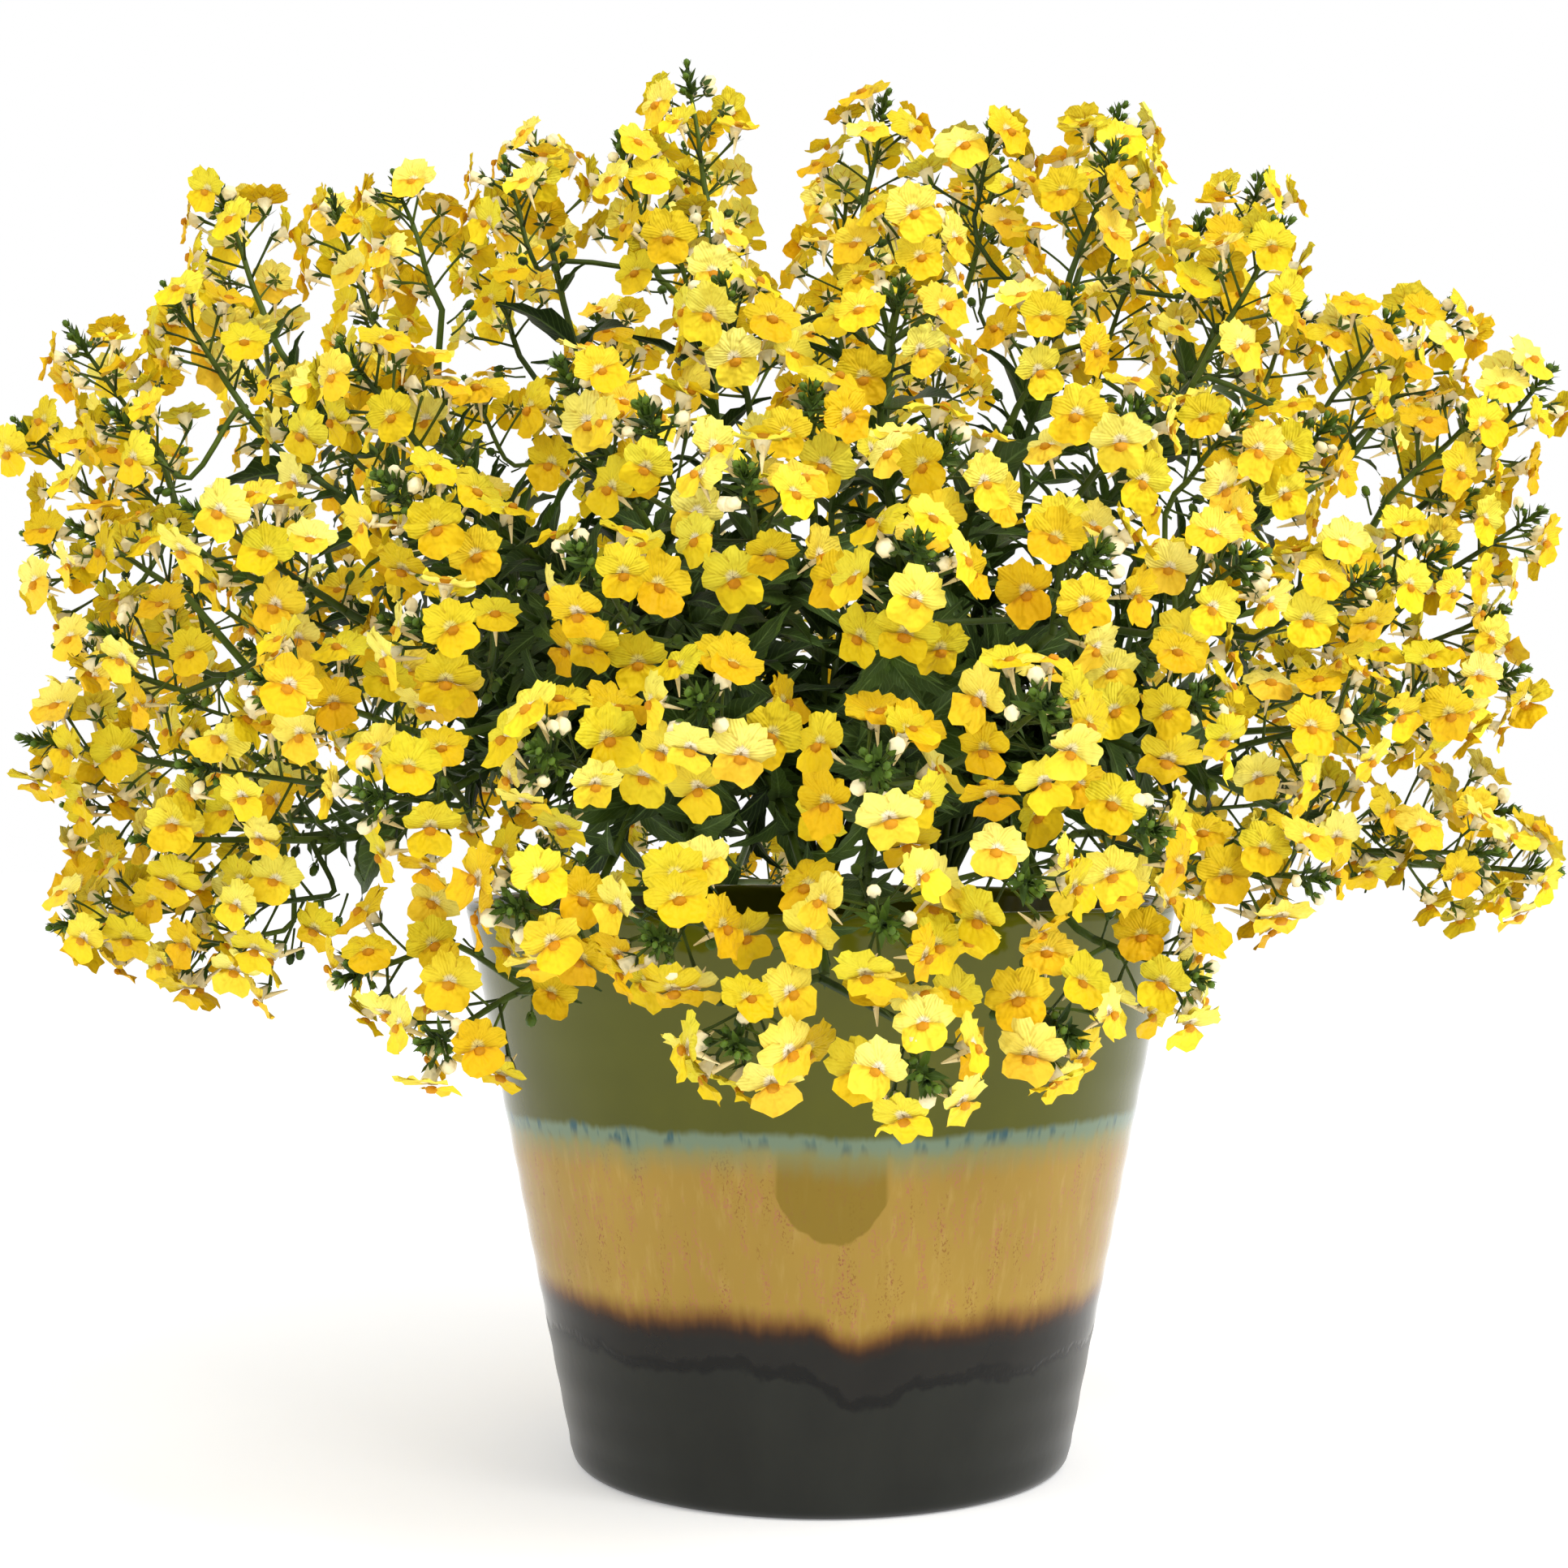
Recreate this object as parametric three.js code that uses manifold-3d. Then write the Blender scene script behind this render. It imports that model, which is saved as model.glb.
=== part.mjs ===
// A nemesia in flower in a glazed pot. Millimetres, +Z up, origin at the middle of the pot's foot.
import * as THREE from 'three';
import { mergeVertices } from 'three/addons/utils/BufferGeometryUtils.js';
import Module from 'manifold-3d';

const wasm = await Module();
wasm.setup();

// Driving dimensions
const GAP = 0.3;
const POT = { height: 195, footRadius: 86, flare: 0.194, wall: 7, floor: 9, round: 5, sides: 36 };
const SOIL = { edge: 176, top: 181, sides: 18 };
const CROWN = { ring: 45, radius: 7, depth: 30, top: 191, sides: 10 };
const STEM = { radius: 1.4, reach: 46, rise: 0.42, least: 126 };
const STALK = { radius: 1.5, tipRadius: 0.9, sunk: 0.6, fork: 4, sides: 3 };
const SPIKE = { shortest: 34, spread: 14, twist: 137.5, fewest: 3, more: 0.35 };
const PEDICEL = { low: 17, high: 12, lowTilt: 68, highTilt: 42 };
const BLOOM = { radius: 12.5, spur: 5, throat: 1.3, palate: 3, clear: 24.6, kin: 16, near: 14.6 };
const TUFT = { radius: 3.2, length: 10 };
const LEAF = { length: 36, width: 11, arch: 6, thick: 1.1, middle: 0.42, foot: 1.6, turn: -45 };
const LEAF_SHARE = 0.24;
const LEAF_PLACES = [0.42, 0.62, 0.82];
const PLANTS = [
  { name: 'plant_back', azimuth: 90 },
  { name: 'plant_left', azimuth: 210 },
  { name: 'plant_right', azimuth: 330 },
];

// Middles of the flower spikes, one row for each branch that carries them
const TOP_SPRAYS = [
  [[-43, 20, 462], [-62, -8, 430]],
  [[18, 0, 449], [58, 28, 432]],
  [[10, 66, 434]],
  [[98, -10, 444], [88, -46, 418]],
  [[152, 30, 428]],
  [[-100, 38, 445]],
  [[-140, 2, 421], [-170, 42, 424]],
  [[-204, 10, 421]],
  [[26, -60, 402]],
];
const SIDE_SPRAYS = [
  [[-210, -20, 382]],
  [[-250, 22, 372], [-263, 12, 342]],
  [[-230, -32, 308], [-235, -20, 272]],
  [[-230, -60, 244], [-222, -60, 192]],
  [[-186, -92, 217]],
  [[135, -60, 390]],
  [[212, 20, 384]],
  [[236, 0, 357], [203, -42, 343]],
  [[222, -20, 312], [214, -32, 266]],
  [[226, -20, 206]],
];
const FRONT_SPRAYS = [
  [[-134, -110, 350]],
  [[-112, -150, 306]],
  [[-172, -110, 304]],
  [[-70, -115, 342]],
  [[-27, -92, 368]],
  [[-4, -130, 334]],
  [[68, -90, 368]],
  [[80, -145, 328], [106, -158, 288]],
  [[140, -90, 330], [148, -112, 288]],
  [[21, -200, 288]],
  [[-60, -180, 286], [-21, -178, 308]],
  [[50, -216, 250], [10, -215, 236]],
  [[-145, -150, 258]],
  [[-71, -192, 240], [-32, -200, 252]],
  [[142, -120, 250]],
  [[-78, -195, 203], [-42, -206, 196]],
  [[-98, -180, 170]],
  [[-23, -210, 171], [22, -204, 163]],
  [[12, -220, 200]],
  [[94, -150, 183]],
  [[125, -132, 208], [79, -180, 221]],
];
const BACK_SPRAYS = [
  [[-120, 95, 418], [-80, 120, 398]],
  [[0, 135, 402], [48, 130, 388]],
  [[115, 100, 412]],
  [[-205, 85, 372], [-170, 120, 345]],
  [[180, 105, 350]],
  [[-225, 85, 300]],
  [[-80, 185, 318]],
  [[20, 195, 330], [70, 190, 302]],
  [[-180, 140, 262], [-140, 170, 235]],
  [[180, 130, 280], [215, 85, 262]],
  [[-40, 225, 250]],
  [[50, 220, 240], [105, 190, 255]],
  [[-215, 70, 222]],
  [[150, 150, 205]],
  [[-75, 200, 180], [-20, 222, 190]],
];
const SPRAYS = [...TOP_SPRAYS, ...SIDE_SPRAYS, ...FRONT_SPRAYS, ...BACK_SPRAYS];

// The right half of a flower's outline, from the top notch down: degrees from straight up,
// share of the flower's radius, and how far the edge leans forward
const HALF_OUTLINE = [
  [24, 1.0, 0.2],
  [47, 0.76, 0.4],
  [74, 0.97, -0.2],
  [104, 0.46, 0.6],
  [140, 1.0, 1.6],
];
const OTHER_HALF = [...HALF_OUTLINE].reverse().map(([turn, share, lean]) => [360 - turn, share, lean]);
const OUTLINE = [[0, 0.78, 0.3], ...HALF_OUTLINE, ...OTHER_HALF];

// The right half of a leaf's toothed outline: share of its width and of its length
const HALF_LEAF = [
  [0.5, 0.4],
  [0.34, 0.47],
  [0.4, 0.68],
  [0.22, 0.74],
];

// Materials
const glaze = new THREE.MeshStandardMaterial({ color: '#7c7a2c', roughness: 0.15, metalness: 0 });
const earth = new THREE.MeshStandardMaterial({ color: '#2b2018', roughness: 0.95, metalness: 0 });
const green = new THREE.MeshStandardMaterial({ color: '#35592a', roughness: 0.6, metalness: 0 });
const yellow = new THREE.MeshStandardMaterial({ color: '#f7cf22', roughness: 0.5, metalness: 0 });

const UP = new THREE.Vector3(0, 0, 1);
const TWIST_FROM = new THREE.Vector3(0.31, 0.17, 0.93);
const degrees = THREE.MathUtils.degToRad;

// A number from 0 to 1 that is always the same for the same three whole numbers
function draw(a, b, c) {
  let h = Math.imul(a + 1, 0x9e3779b1) ^ Math.imul(b + 1, 0x85ebca6b);
  h ^= Math.imul(c + 1, 0xc2b2ae35);
  h = Math.imul(h ^ (h >>> 15), 0x2c1b3c6d);
  h = Math.imul(h ^ (h >>> 12), 0x297a2d39);
  h ^= h >>> 15;
  return (h >>> 0) / 4294967296;
}

// A closed three.js geometry as a solid that can be joined and cut
function toSolid(geometry) {
  const bare = geometry.clone();
  bare.deleteAttribute('normal');
  bare.deleteAttribute('uv');
  const merged = mergeVertices(bare, 1e-3);
  const corners = [];
  const index = merged.index.array;
  for (let i = 0; i < index.length; i += 3) {
    const [a, b, c] = [index[i], index[i + 1], index[i + 2]];
    if (a !== b && b !== c && c !== a) corners.push(a, b, c);
  }
  return new wasm.Manifold(new wasm.Mesh({
    numProp: 3,
    vertProperties: new Float32Array(merged.attributes.position.array),
    triVerts: new Uint32Array(corners),
  }));
}

function toMesh(name, solid, material) {
  const { vertProperties, triVerts } = solid.getMesh();
  const geometry = new THREE.BufferGeometry();
  geometry.setAttribute('position', new THREE.BufferAttribute(vertProperties, 3));
  geometry.setIndex(new THREE.BufferAttribute(triVerts, 1));
  geometry.computeVertexNormals();
  const mesh = new THREE.Mesh(geometry, material);
  mesh.name = name;
  return mesh;
}

const joined = (solids) => solids.reduce((whole, solid) => whole.add(solid));

function lathed(profile, sides) {
  const points = profile.map(([r, z]) => new THREE.Vector2(r, z));
  return toSolid(new THREE.LatheGeometry(points, sides).rotateX(Math.PI / 2));
}

// Bodies are built point by point: rings of corners are joined to rods, and a rod's face can be
// left open for what grows from it
function addPoint(body, point) {
  body.points.push(point.x, point.y, point.z);
  return body.points.length / 3 - 1;
}

function addRing(body, middle, across, axis, radius, sides) {
  const up = new THREE.Vector3().crossVectors(axis, across).normalize();
  return Array.from({ length: sides }, (_, i) => {
    const turn = (2 * Math.PI * i) / sides;
    const point = middle.clone().addScaledVector(across, radius * Math.cos(turn));
    return addPoint(body, point.addScaledVector(up, radius * Math.sin(turn)));
  });
}

// Joins two rings and returns the corners of the face that is left open, if one is
function joinRings(body, low, high, openSides = []) {
  const faces = low.map((_, i) => {
    const next = (i + 1) % low.length;
    return [low[i], low[next], high[next], high[i]];
  });
  faces.forEach(([a, b, c, d], i) => {
    if (!openSides.includes(i)) body.corners.push(a, b, c, a, c, d);
  });
  return openSides.map((i) => faces[i]);
}

function closeEnd(body, ring) {
  for (let i = 2; i < ring.length; i += 1) body.corners.push(ring[0], ring[i - 1], ring[i]);
}

function closeAtPoint(body, ring, point) {
  const top = addPoint(body, point);
  ring.forEach((corner, i) => body.corners.push(corner, ring[(i + 1) % ring.length], top));
}

function bodySolid(body) {
  const geometry = new THREE.BufferGeometry();
  geometry.setAttribute('position', new THREE.Float32BufferAttribute(body.points, 3));
  geometry.setIndex(body.corners);
  return toSolid(geometry);
}

// Pot and soil
const potRadius = (z) => POT.footRadius + POT.flare * z;
const innerRadius = (z) => potRadius(z) - POT.wall;

function makePot() {
  const top = POT.height;
  const lip = POT.wall / 2;
  return lathed([
    [0, 0],
    [POT.footRadius - POT.round, 0],
    [potRadius(POT.round), POT.round],
    [potRadius(top - 4), top - 4],
    [potRadius(top) - 1.5, top - 1],
    [potRadius(top) - lip, top],
    [innerRadius(top) + 1.5, top - 1],
    [innerRadius(top - 5), top - 5],
    [innerRadius(POT.floor + 4), POT.floor + 4],
    [innerRadius(POT.floor) - 4, POT.floor],
    [0, POT.floor],
  ], POT.sides);
}

function makeSoil() {
  const low = POT.floor + GAP;
  const body = lathed([
    [0, low],
    [innerRadius(POT.floor) - 4 - GAP, low],
    [innerRadius(POT.floor + 4) - GAP, POT.floor + 4 + GAP],
    [innerRadius(SOIL.edge) - GAP, SOIL.edge],
    [CROWN.ring + 20, SOIL.top - 1],
    [0, SOIL.top],
  ], SOIL.sides);
  const holes = PLANTS.map((plant) => {
    const foot = crownFoot(plant);
    const height = CROWN.depth + 10;
    const hole = new THREE.CylinderGeometry(
      CROWN.radius + GAP, CROWN.radius + GAP, height, CROWN.sides);
    hole.rotateX(Math.PI / 2).translate(foot.x, foot.y, foot.z - GAP + height / 2);
    return toSolid(hole);
  });
  return holes.reduce((soil, hole) => soil.subtract(hole), body);
}

function crownFoot(plant) {
  const turn = degrees(plant.azimuth);
  return new THREE.Vector3(
    CROWN.ring * Math.cos(turn),
    CROWN.ring * Math.sin(turn),
    SOIL.top - CROWN.depth,
  );
}

// Which way a spike points: nearly straight up at the top, level at the rim and hanging below it
function spikeAxis(middle) {
  const tilt = degrees(THREE.MathUtils.clamp((middle.z - 215) * 0.34, -14, 80));
  const flat = new THREE.Vector3(middle.x, middle.y, 0).normalize();
  return flat.multiplyScalar(Math.cos(tilt)).addScaledVector(UP, Math.sin(tilt));
}

// Each spike's own line, and the point where its branch leaves the green stem
function planSpray(rows, number) {
  const spikes = rows.map(([x, y, z], k) => {
    const middle = new THREE.Vector3(x, y, z);
    const axis = spikeAxis(middle);
    const length = SPIKE.shortest + SPIKE.spread * draw(number, k, 0);
    const base = middle.clone().addScaledVector(axis, -length / 2);
    const tip = middle.clone().addScaledVector(axis, length / 2);
    const seed = number * 2 + k;
    const count = SPIKE.fewest + (draw(seed, 0, 4) < SPIKE.more ? 1 : 0);
    return { base, tip, axis, count, seed };
  });
  const heading = spikes.reduce((sum, s) => sum.add(s.axis), new THREE.Vector3()).normalize();
  const root = spikes.reduce((sum, s) => sum.add(s.base), new THREE.Vector3());
  root.divideScalar(spikes.length);
  const apart = spikes[0].base.distanceTo(spikes[spikes.length - 1].base);
  root.addScaledVector(heading, -(STALK.fork + 3 + apart * 0.55));
  return { spikes, root, heading, plant: nearestPlant(root), number };
}

function nearestPlant(point) {
  const azimuth = THREE.MathUtils.radToDeg(Math.atan2(point.y, point.x));
  const away = (plant) => Math.abs(THREE.MathUtils.euclideanModulo(
    azimuth - plant.azimuth + 180, 360) - 180);
  return PLANTS.reduce((best, plant) => (away(plant) < away(best) ? plant : best));
}

// The stem leaves the crown steeply and arrives along the branch's own heading
function stemCurve(spray) {
  const start = crownFoot(spray.plant).setZ(CROWN.top - 5);
  const end = spray.root.clone().addScaledVector(spray.heading, -GAP);
  const flat = end.clone().sub(start).setZ(0);
  const rise = Math.max(STEM.least, (end.z - start.z) * STEM.rise);
  const first = start.clone().addScaledVector(flat, 0.22).setZ(start.z + rise);
  const second = end.clone().addScaledVector(spray.heading, -STEM.reach);
  return new THREE.CubicBezierCurve3(start, first, second, end);
}

// Flowers
function placedPoint([turn, share, lean], matrix) {
  const reach = share * BLOOM.radius;
  const point = new THREE.Vector3(
    -reach * Math.sin(degrees(turn)), reach * Math.cos(degrees(turn)), lean);
  return point.applyMatrix4(matrix);
}

// Grows a flower out of an open face of its spike: a stalk, a narrow neck, and a lobed face that
// closes on the raised palate
function growBloom(body, corners, place) {
  const matrix = bloomMatrix(place);
  const [lowLeft, lowRight] = corners.map((i) => new THREE.Vector3().fromArray(body.points, 3 * i));
  const right = lowRight.sub(lowLeft).projectOnPlane(place.face).normalize();
  const high = new THREE.Vector3().crossVectors(place.face, right);
  const neckWays = [[-1, -1], [1, -1], [1, 1], [-1, 1]].map(([a, b]) => (
    right.clone().multiplyScalar(a).addScaledVector(high, b).normalize()));
  const neck = neckWays.map((way) => addPoint(
    body, place.neck.clone().addScaledVector(way, BLOOM.throat)));
  joinRings(body, corners, neck);
  const edge = OUTLINE.map((point) => placedPoint(point, matrix));
  const outline = edge.map((point) => addPoint(body, point));
  const count = outline.length;
  const turns = neckWays.map((way, i) => way.clone().add(neckWays[(i + 1) % 4]).normalize());
  const shared = turns.map((turn) => {
    const along = edge.map((point) => point.clone().sub(place.middle).normalize().dot(turn));
    return along.indexOf(Math.max(...along));
  });
  neck.forEach((corner, i) => {
    const last = shared[i];
    for (let j = shared[(i + 3) % 4]; j !== last; j = (j + 1) % count) {
      body.corners.push(corner, outline[(j + 1) % count], outline[j]);
    }
    body.corners.push(corner, neck[(i + 1) % 4], outline[last]);
  });
  closeAtPoint(body, outline, new THREE.Vector3(0, -1, BLOOM.palate).applyMatrix4(matrix));
}

// A frame for a flower that faces outward, with its upper lip up
function bloomPlace(spike, k, turnBy) {
  const share = (k + 0.5) / spike.count;
  const side = new THREE.Vector3().crossVectors(spike.axis, TWIST_FROM);
  const turn = SPIKE.twist * k + 360 * draw(spike.seed, 0, 1) + turnBy;
  const out = side.normalize().applyAxisAngle(spike.axis, degrees(turn));
  const root = spike.base.clone().lerp(spike.tip, 0.06 + 0.8 * share);
  const tilt = degrees(THREE.MathUtils.lerp(PEDICEL.lowTilt, PEDICEL.highTilt, share));
  const length = THREE.MathUtils.lerp(PEDICEL.low, PEDICEL.high, share);
  const way = out.clone().multiplyScalar(Math.sin(tilt)).addScaledVector(spike.axis, Math.cos(tilt));
  const neck = root.clone().addScaledVector(way, length);
  const face = out.clone().multiplyScalar(0.75).addScaledVector(spike.axis, 0.6).normalize();
  const middle = neck.clone().addScaledVector(face, BLOOM.spur);
  const size = 0.94 + 0.12 * draw(spike.seed, k, 2);
  const lean = degrees(30 * (draw(spike.seed, k, 3) - 0.5));
  return { root, neck, face, middle, size, lean, k, seed: spike.seed };
}

function bloomMatrix({ face, middle, size, lean }) {
  const across = new THREE.Vector3().crossVectors(UP, face);
  if (across.length() < 0.1) across.set(1, 0, 0);
  across.normalize().applyAxisAngle(face, lean);
  const up = new THREE.Vector3().crossVectors(face, across).normalize();
  across.crossVectors(up, face);
  const matrix = new THREE.Matrix4().makeBasis(across, up, face);
  return matrix.scale(new THREE.Vector3(size, size, size)).setPosition(middle);
}

// How near a point comes to a line of points
function nearLine(point, line) {
  const nearest = new THREE.Vector3();
  const part = new THREE.Line3();
  return Math.min(...line.slice(1).map((end, i) => {
    part.set(line[i], end).closestPointToPoint(point, true, nearest);
    return nearest.distanceTo(point);
  }));
}

// The lines that flowers keep clear of: each stem and each spike with its branch
function linesOf(spray) {
  const lines = [stemCurve(spray).getPoints(8)];
  spray.spikes.forEach((spike) => lines.push([spray.root, spike.base, spike.tip]));
  return lines.map((line) => ({ line, number: spray.number }));
}

function outsidePot(point, margin) {
  const wide = Math.hypot(point.x, point.y);
  return point.z > POT.height + margin || wide > potRadius(point.z) + margin;
}

// Every flower's place, with those that would touch another branch turned clear or left out
function placeBlooms(sprays) {
  const lines = sprays.flatMap(linesOf);
  const placed = [];
  const isClear = (place, number) => outsidePot(place.middle, 13)
    && placed.every((other) => other.middle.distanceTo(place.middle)
      > (other.number === number ? BLOOM.kin : BLOOM.clear))
    && lines.every((item) => item.number === number
      || nearLine(place.middle, item.line) > BLOOM.near);
  sprays.forEach((spray) => spray.spikes.forEach((spike) => {
    for (let k = 0; k < spike.count; k += 1) {
      for (let step = 0; step < 6; step += 1) {
        const place = bloomPlace(spike, k, step * 50);
        if (isClear(place, spray.number)) {
          placed.push({ ...place, number: spray.number });
          break;
        }
      }
    }
  }));
  return placed;
}

// One spike: its stalk from the branch, a stem with a flower on each stretch, and a bud tip
function makeSpike(spray, spike, blooms) {
  const body = { points: [], corners: [] };
  const side = new THREE.Vector3().crossVectors(spike.axis, TWIST_FROM).normalize();
  const ring = (middle, radius) => addRing(body, middle, side, spike.axis, radius, STALK.sides);
  const at = (share) => spike.base.clone().lerp(spike.tip, share);
  const first = spray.spikes[0];
  const begin = spray.root.clone();
  if (spike !== first) begin.addScaledVector(first.base.clone().sub(begin).normalize(), STALK.fork);
  const across = side.clone().projectOnPlane(spray.heading).normalize();
  let low = spike === first
    ? addRing(body, begin, across, spray.heading, STALK.radius, STALK.sides)
    : ring(begin, STALK.sunk);
  closeEnd(body, [...low].reverse());
  for (let k = -1; k < spike.count; k += 1) {
    const share = (k + 1) / spike.count;
    const high = ring(at(share * 0.86), THREE.MathUtils.lerp(STALK.radius, STALK.tipRadius, share));
    const own = blooms.find((place) => place.seed === spike.seed && place.k === k);
    const open = own ? [openSide(body, low, high, own)] : [];
    joinRings(body, low, high, open).forEach((face) => growBloom(body, face, own));
    low = high;
  }
  const wide = ring(spike.tip, TUFT.radius);
  joinRings(body, low, wide);
  closeAtPoint(body, wide, spike.tip.clone().addScaledVector(spike.axis, TUFT.length));
  return bodySolid(body);
}

// The face of a rod that looks most nearly the way a flower lies
function openSide(body, low, high, place) {
  const corner = (i) => new THREE.Vector3().fromArray(body.points, 3 * i);
  const away = low.map((_, i) => {
    const next = (i + 1) % low.length;
    const middle = corner(low[i]).add(corner(low[next])).add(corner(high[i])).add(corner(high[next]));
    return middle.divideScalar(4).distanceTo(place.neck);
  });
  return away.indexOf(Math.min(...away));
}

function makeSpray(spray, blooms) {
  return joined(spray.spikes.map((spike) => makeSpike(spray, spike, blooms)));
}

// Leaves
function leafDroop(y) {
  return LEAF.arch * (2 * y * (1 - y) - 0.6 * y * y);
}

// Grows a toothed leaf out of an open face of its stem, with its upper side to the stem's tip
function growLeaf(body, [lowLeft, lowRight, highRight, highLeft], place) {
  const { at, way, across, top, size } = place;
  const point = (x, y, lift) => {
    const spot = at.clone().addScaledVector(across, x * LEAF.width * size);
    spot.addScaledVector(way, y * LEAF.length * size);
    return addPoint(body, spot.addScaledVector(top, leafDroop(y) * size + lift));
  };
  const left = HALF_LEAF.map(([x, y]) => point(x, y, 0));
  const right = HALF_LEAF.map(([x, y]) => point(-x, y, 0));
  const rim = [...left, point(0, 1, 0), ...right.reverse()];
  const over = point(0, LEAF.middle, LEAF.thick);
  const under = point(0, LEAF.middle, -LEAF.thick);
  const upper = [highLeft, ...rim, highRight];
  const lower = [lowLeft, ...rim, lowRight];
  for (let i = 0; i < upper.length; i += 1) {
    const next = (i + 1) % upper.length;
    body.corners.push(over, upper[i], upper[next], under, lower[next], lower[i]);
  }
  body.corners.push(rim[0], highLeft, lowLeft, highRight, rim[rim.length - 1], lowRight);
}

// The frames of a stem's rings, each turned as little as can be from the one before
function stemFrames(curve, shares) {
  let across = new THREE.Vector3(1, 0, 0);
  return shares.map((share) => {
    const axis = curve.getTangent(share);
    across = across.clone().projectOnPlane(axis).normalize();
    return { middle: curve.getPoint(share), axis, across };
  });
}

function leafPlace(spray, frame, pair, sign) {
  const { middle, axis, across: side } = frame;
  const out = new THREE.Vector3().crossVectors(axis, side).multiplyScalar(sign);
  out.applyAxisAngle(axis, degrees(LEAF.turn));
  const way = out.clone().multiplyScalar(0.85).addScaledVector(axis, 0.45).normalize();
  const across = new THREE.Vector3().crossVectors(way, axis).normalize();
  const top = new THREE.Vector3().crossVectors(across, way);
  const size = 0.85 + 0.4 * draw(spray.number, pair, 6);
  const points = [0.25, 0.55, 0.85].map((far) => middle.clone().addScaledVector(
    way, far * LEAF.length * size));
  return { at: middle, way, across, top, size, points, pair, sign, number: spray.number, plant: spray.plant };
}

function placeLeaves(sprays, blooms) {
  const lines = sprays.flatMap((spray) => linesOf(spray).map((item, i) => ({
    ...item, plant: i === 0 ? spray.plant : null,
  })));
  const placed = [];
  const isClear = (leaf) => leaf.points.every((point) => {
    const high = point.z > POT.height + 7 || (point.z > SOIL.top + 6
      && Math.hypot(point.x, point.y) < innerRadius(SOIL.top) - 8);
    const free = blooms.every((bloom) => bloom.middle.distanceTo(point) > 17
      && bloom.neck.distanceTo(point) > 9);
    const apart = lines.every((item) => item.plant === leaf.plant
      || nearLine(point, item.line) > 8);
    const alone = placed.every((other) => other.points.every((spot) => spot.distanceTo(point)
      > (other.plant === leaf.plant ? 7 : 11)));
    return (high || outsidePot(point, 7)) && free && apart && alone;
  });
  sprays.forEach((spray) => {
    const frames = stemFrames(stemCurve(spray), LEAF_PLACES);
    frames.forEach((frame, pair) => {
      if (draw(spray.number, pair, 7) > LEAF_SHARE) return;
      const two = [-1, 1].map((sign) => leafPlace(spray, frame, pair, sign));
      if (two.every(isClear)) placed.push(...two);
    });
  });
  return placed;
}

// A square stem along its curve, with a short stretch at each pair of leaves that they grow from
function makeStem(spray, leaves) {
  const body = { points: [], corners: [] };
  const curve = stemCurve(spray);
  const step = LEAF.foot / curve.getLength();
  const pairs = LEAF_PLACES.map((share, pair) => ({ share, pair }))
    .filter(({ pair }) => leaves.some((leaf) => leaf.number === spray.number && leaf.pair === pair));
  const shares = [0, 0.25, 1];
  pairs.forEach(({ share }) => shares.push(share - step, share + step));
  if (pairs.length === 0) shares.push(0.5, 0.75);
  shares.sort((a, b) => a - b);
  const rings = stemFrames(curve, shares).map(({ middle, axis, across }) => addRing(
    body, middle, across, axis, STEM.radius, 4));
  closeEnd(body, [...rings[0]].reverse());
  for (let i = 1; i < rings.length; i += 1) {
    const here = pairs.find(({ share }) => shares[i - 1] < share && shares[i] > share
      && shares[i] - shares[i - 1] < 3 * step);
    const two = here ? leaves.filter((leaf) => leaf.number === spray.number
      && leaf.pair === here.pair) : [];
    const open = two.map((leaf) => (leaf.sign > 0 ? 0 : 2));
    joinRings(body, rings[i - 1], rings[i], open).forEach((face, n) => growLeaf(body, face, two[n]));
  }
  closeEnd(body, rings[rings.length - 1]);
  return bodySolid(body);
}

function makePlant(plant, sprays, leaves) {
  const foot = crownFoot(plant);
  const height = CROWN.top - foot.z;
  const crown = new THREE.CylinderGeometry(CROWN.radius * 0.7, CROWN.radius, height, CROWN.sides);
  crown.rotateX(Math.PI / 2).translate(foot.x, foot.y, foot.z + height / 2);
  const stems = sprays.filter((spray) => spray.plant === plant);
  return joined([toSolid(crown), ...stems.map((spray) => makeStem(spray, leaves))]);
}

// The whole pot of flowers
const sprays = SPRAYS.map(planSpray);
const blooms = placeBlooms(sprays);
const leaves = placeLeaves(sprays, blooms);

const group = new THREE.Group();
group.add(toMesh('pot', makePot(), glaze));
group.add(toMesh('soil', makeSoil(), earth));
PLANTS.forEach((plant) => {
  group.add(toMesh(plant.name, makePlant(plant, sprays, leaves), green));
});
sprays.forEach((spray) => {
  const own = blooms.filter((bloom) => bloom.number === spray.number);
  const name = `flower_spray_${String(spray.number + 1).padStart(2, '0')}`;
  group.add(toMesh(name, makeSpray(spray, own), yellow));
});

export default group;
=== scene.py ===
import math

import bmesh
import bpy
from mathutils import Matrix, Vector, geometry, kdtree, noise


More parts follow.
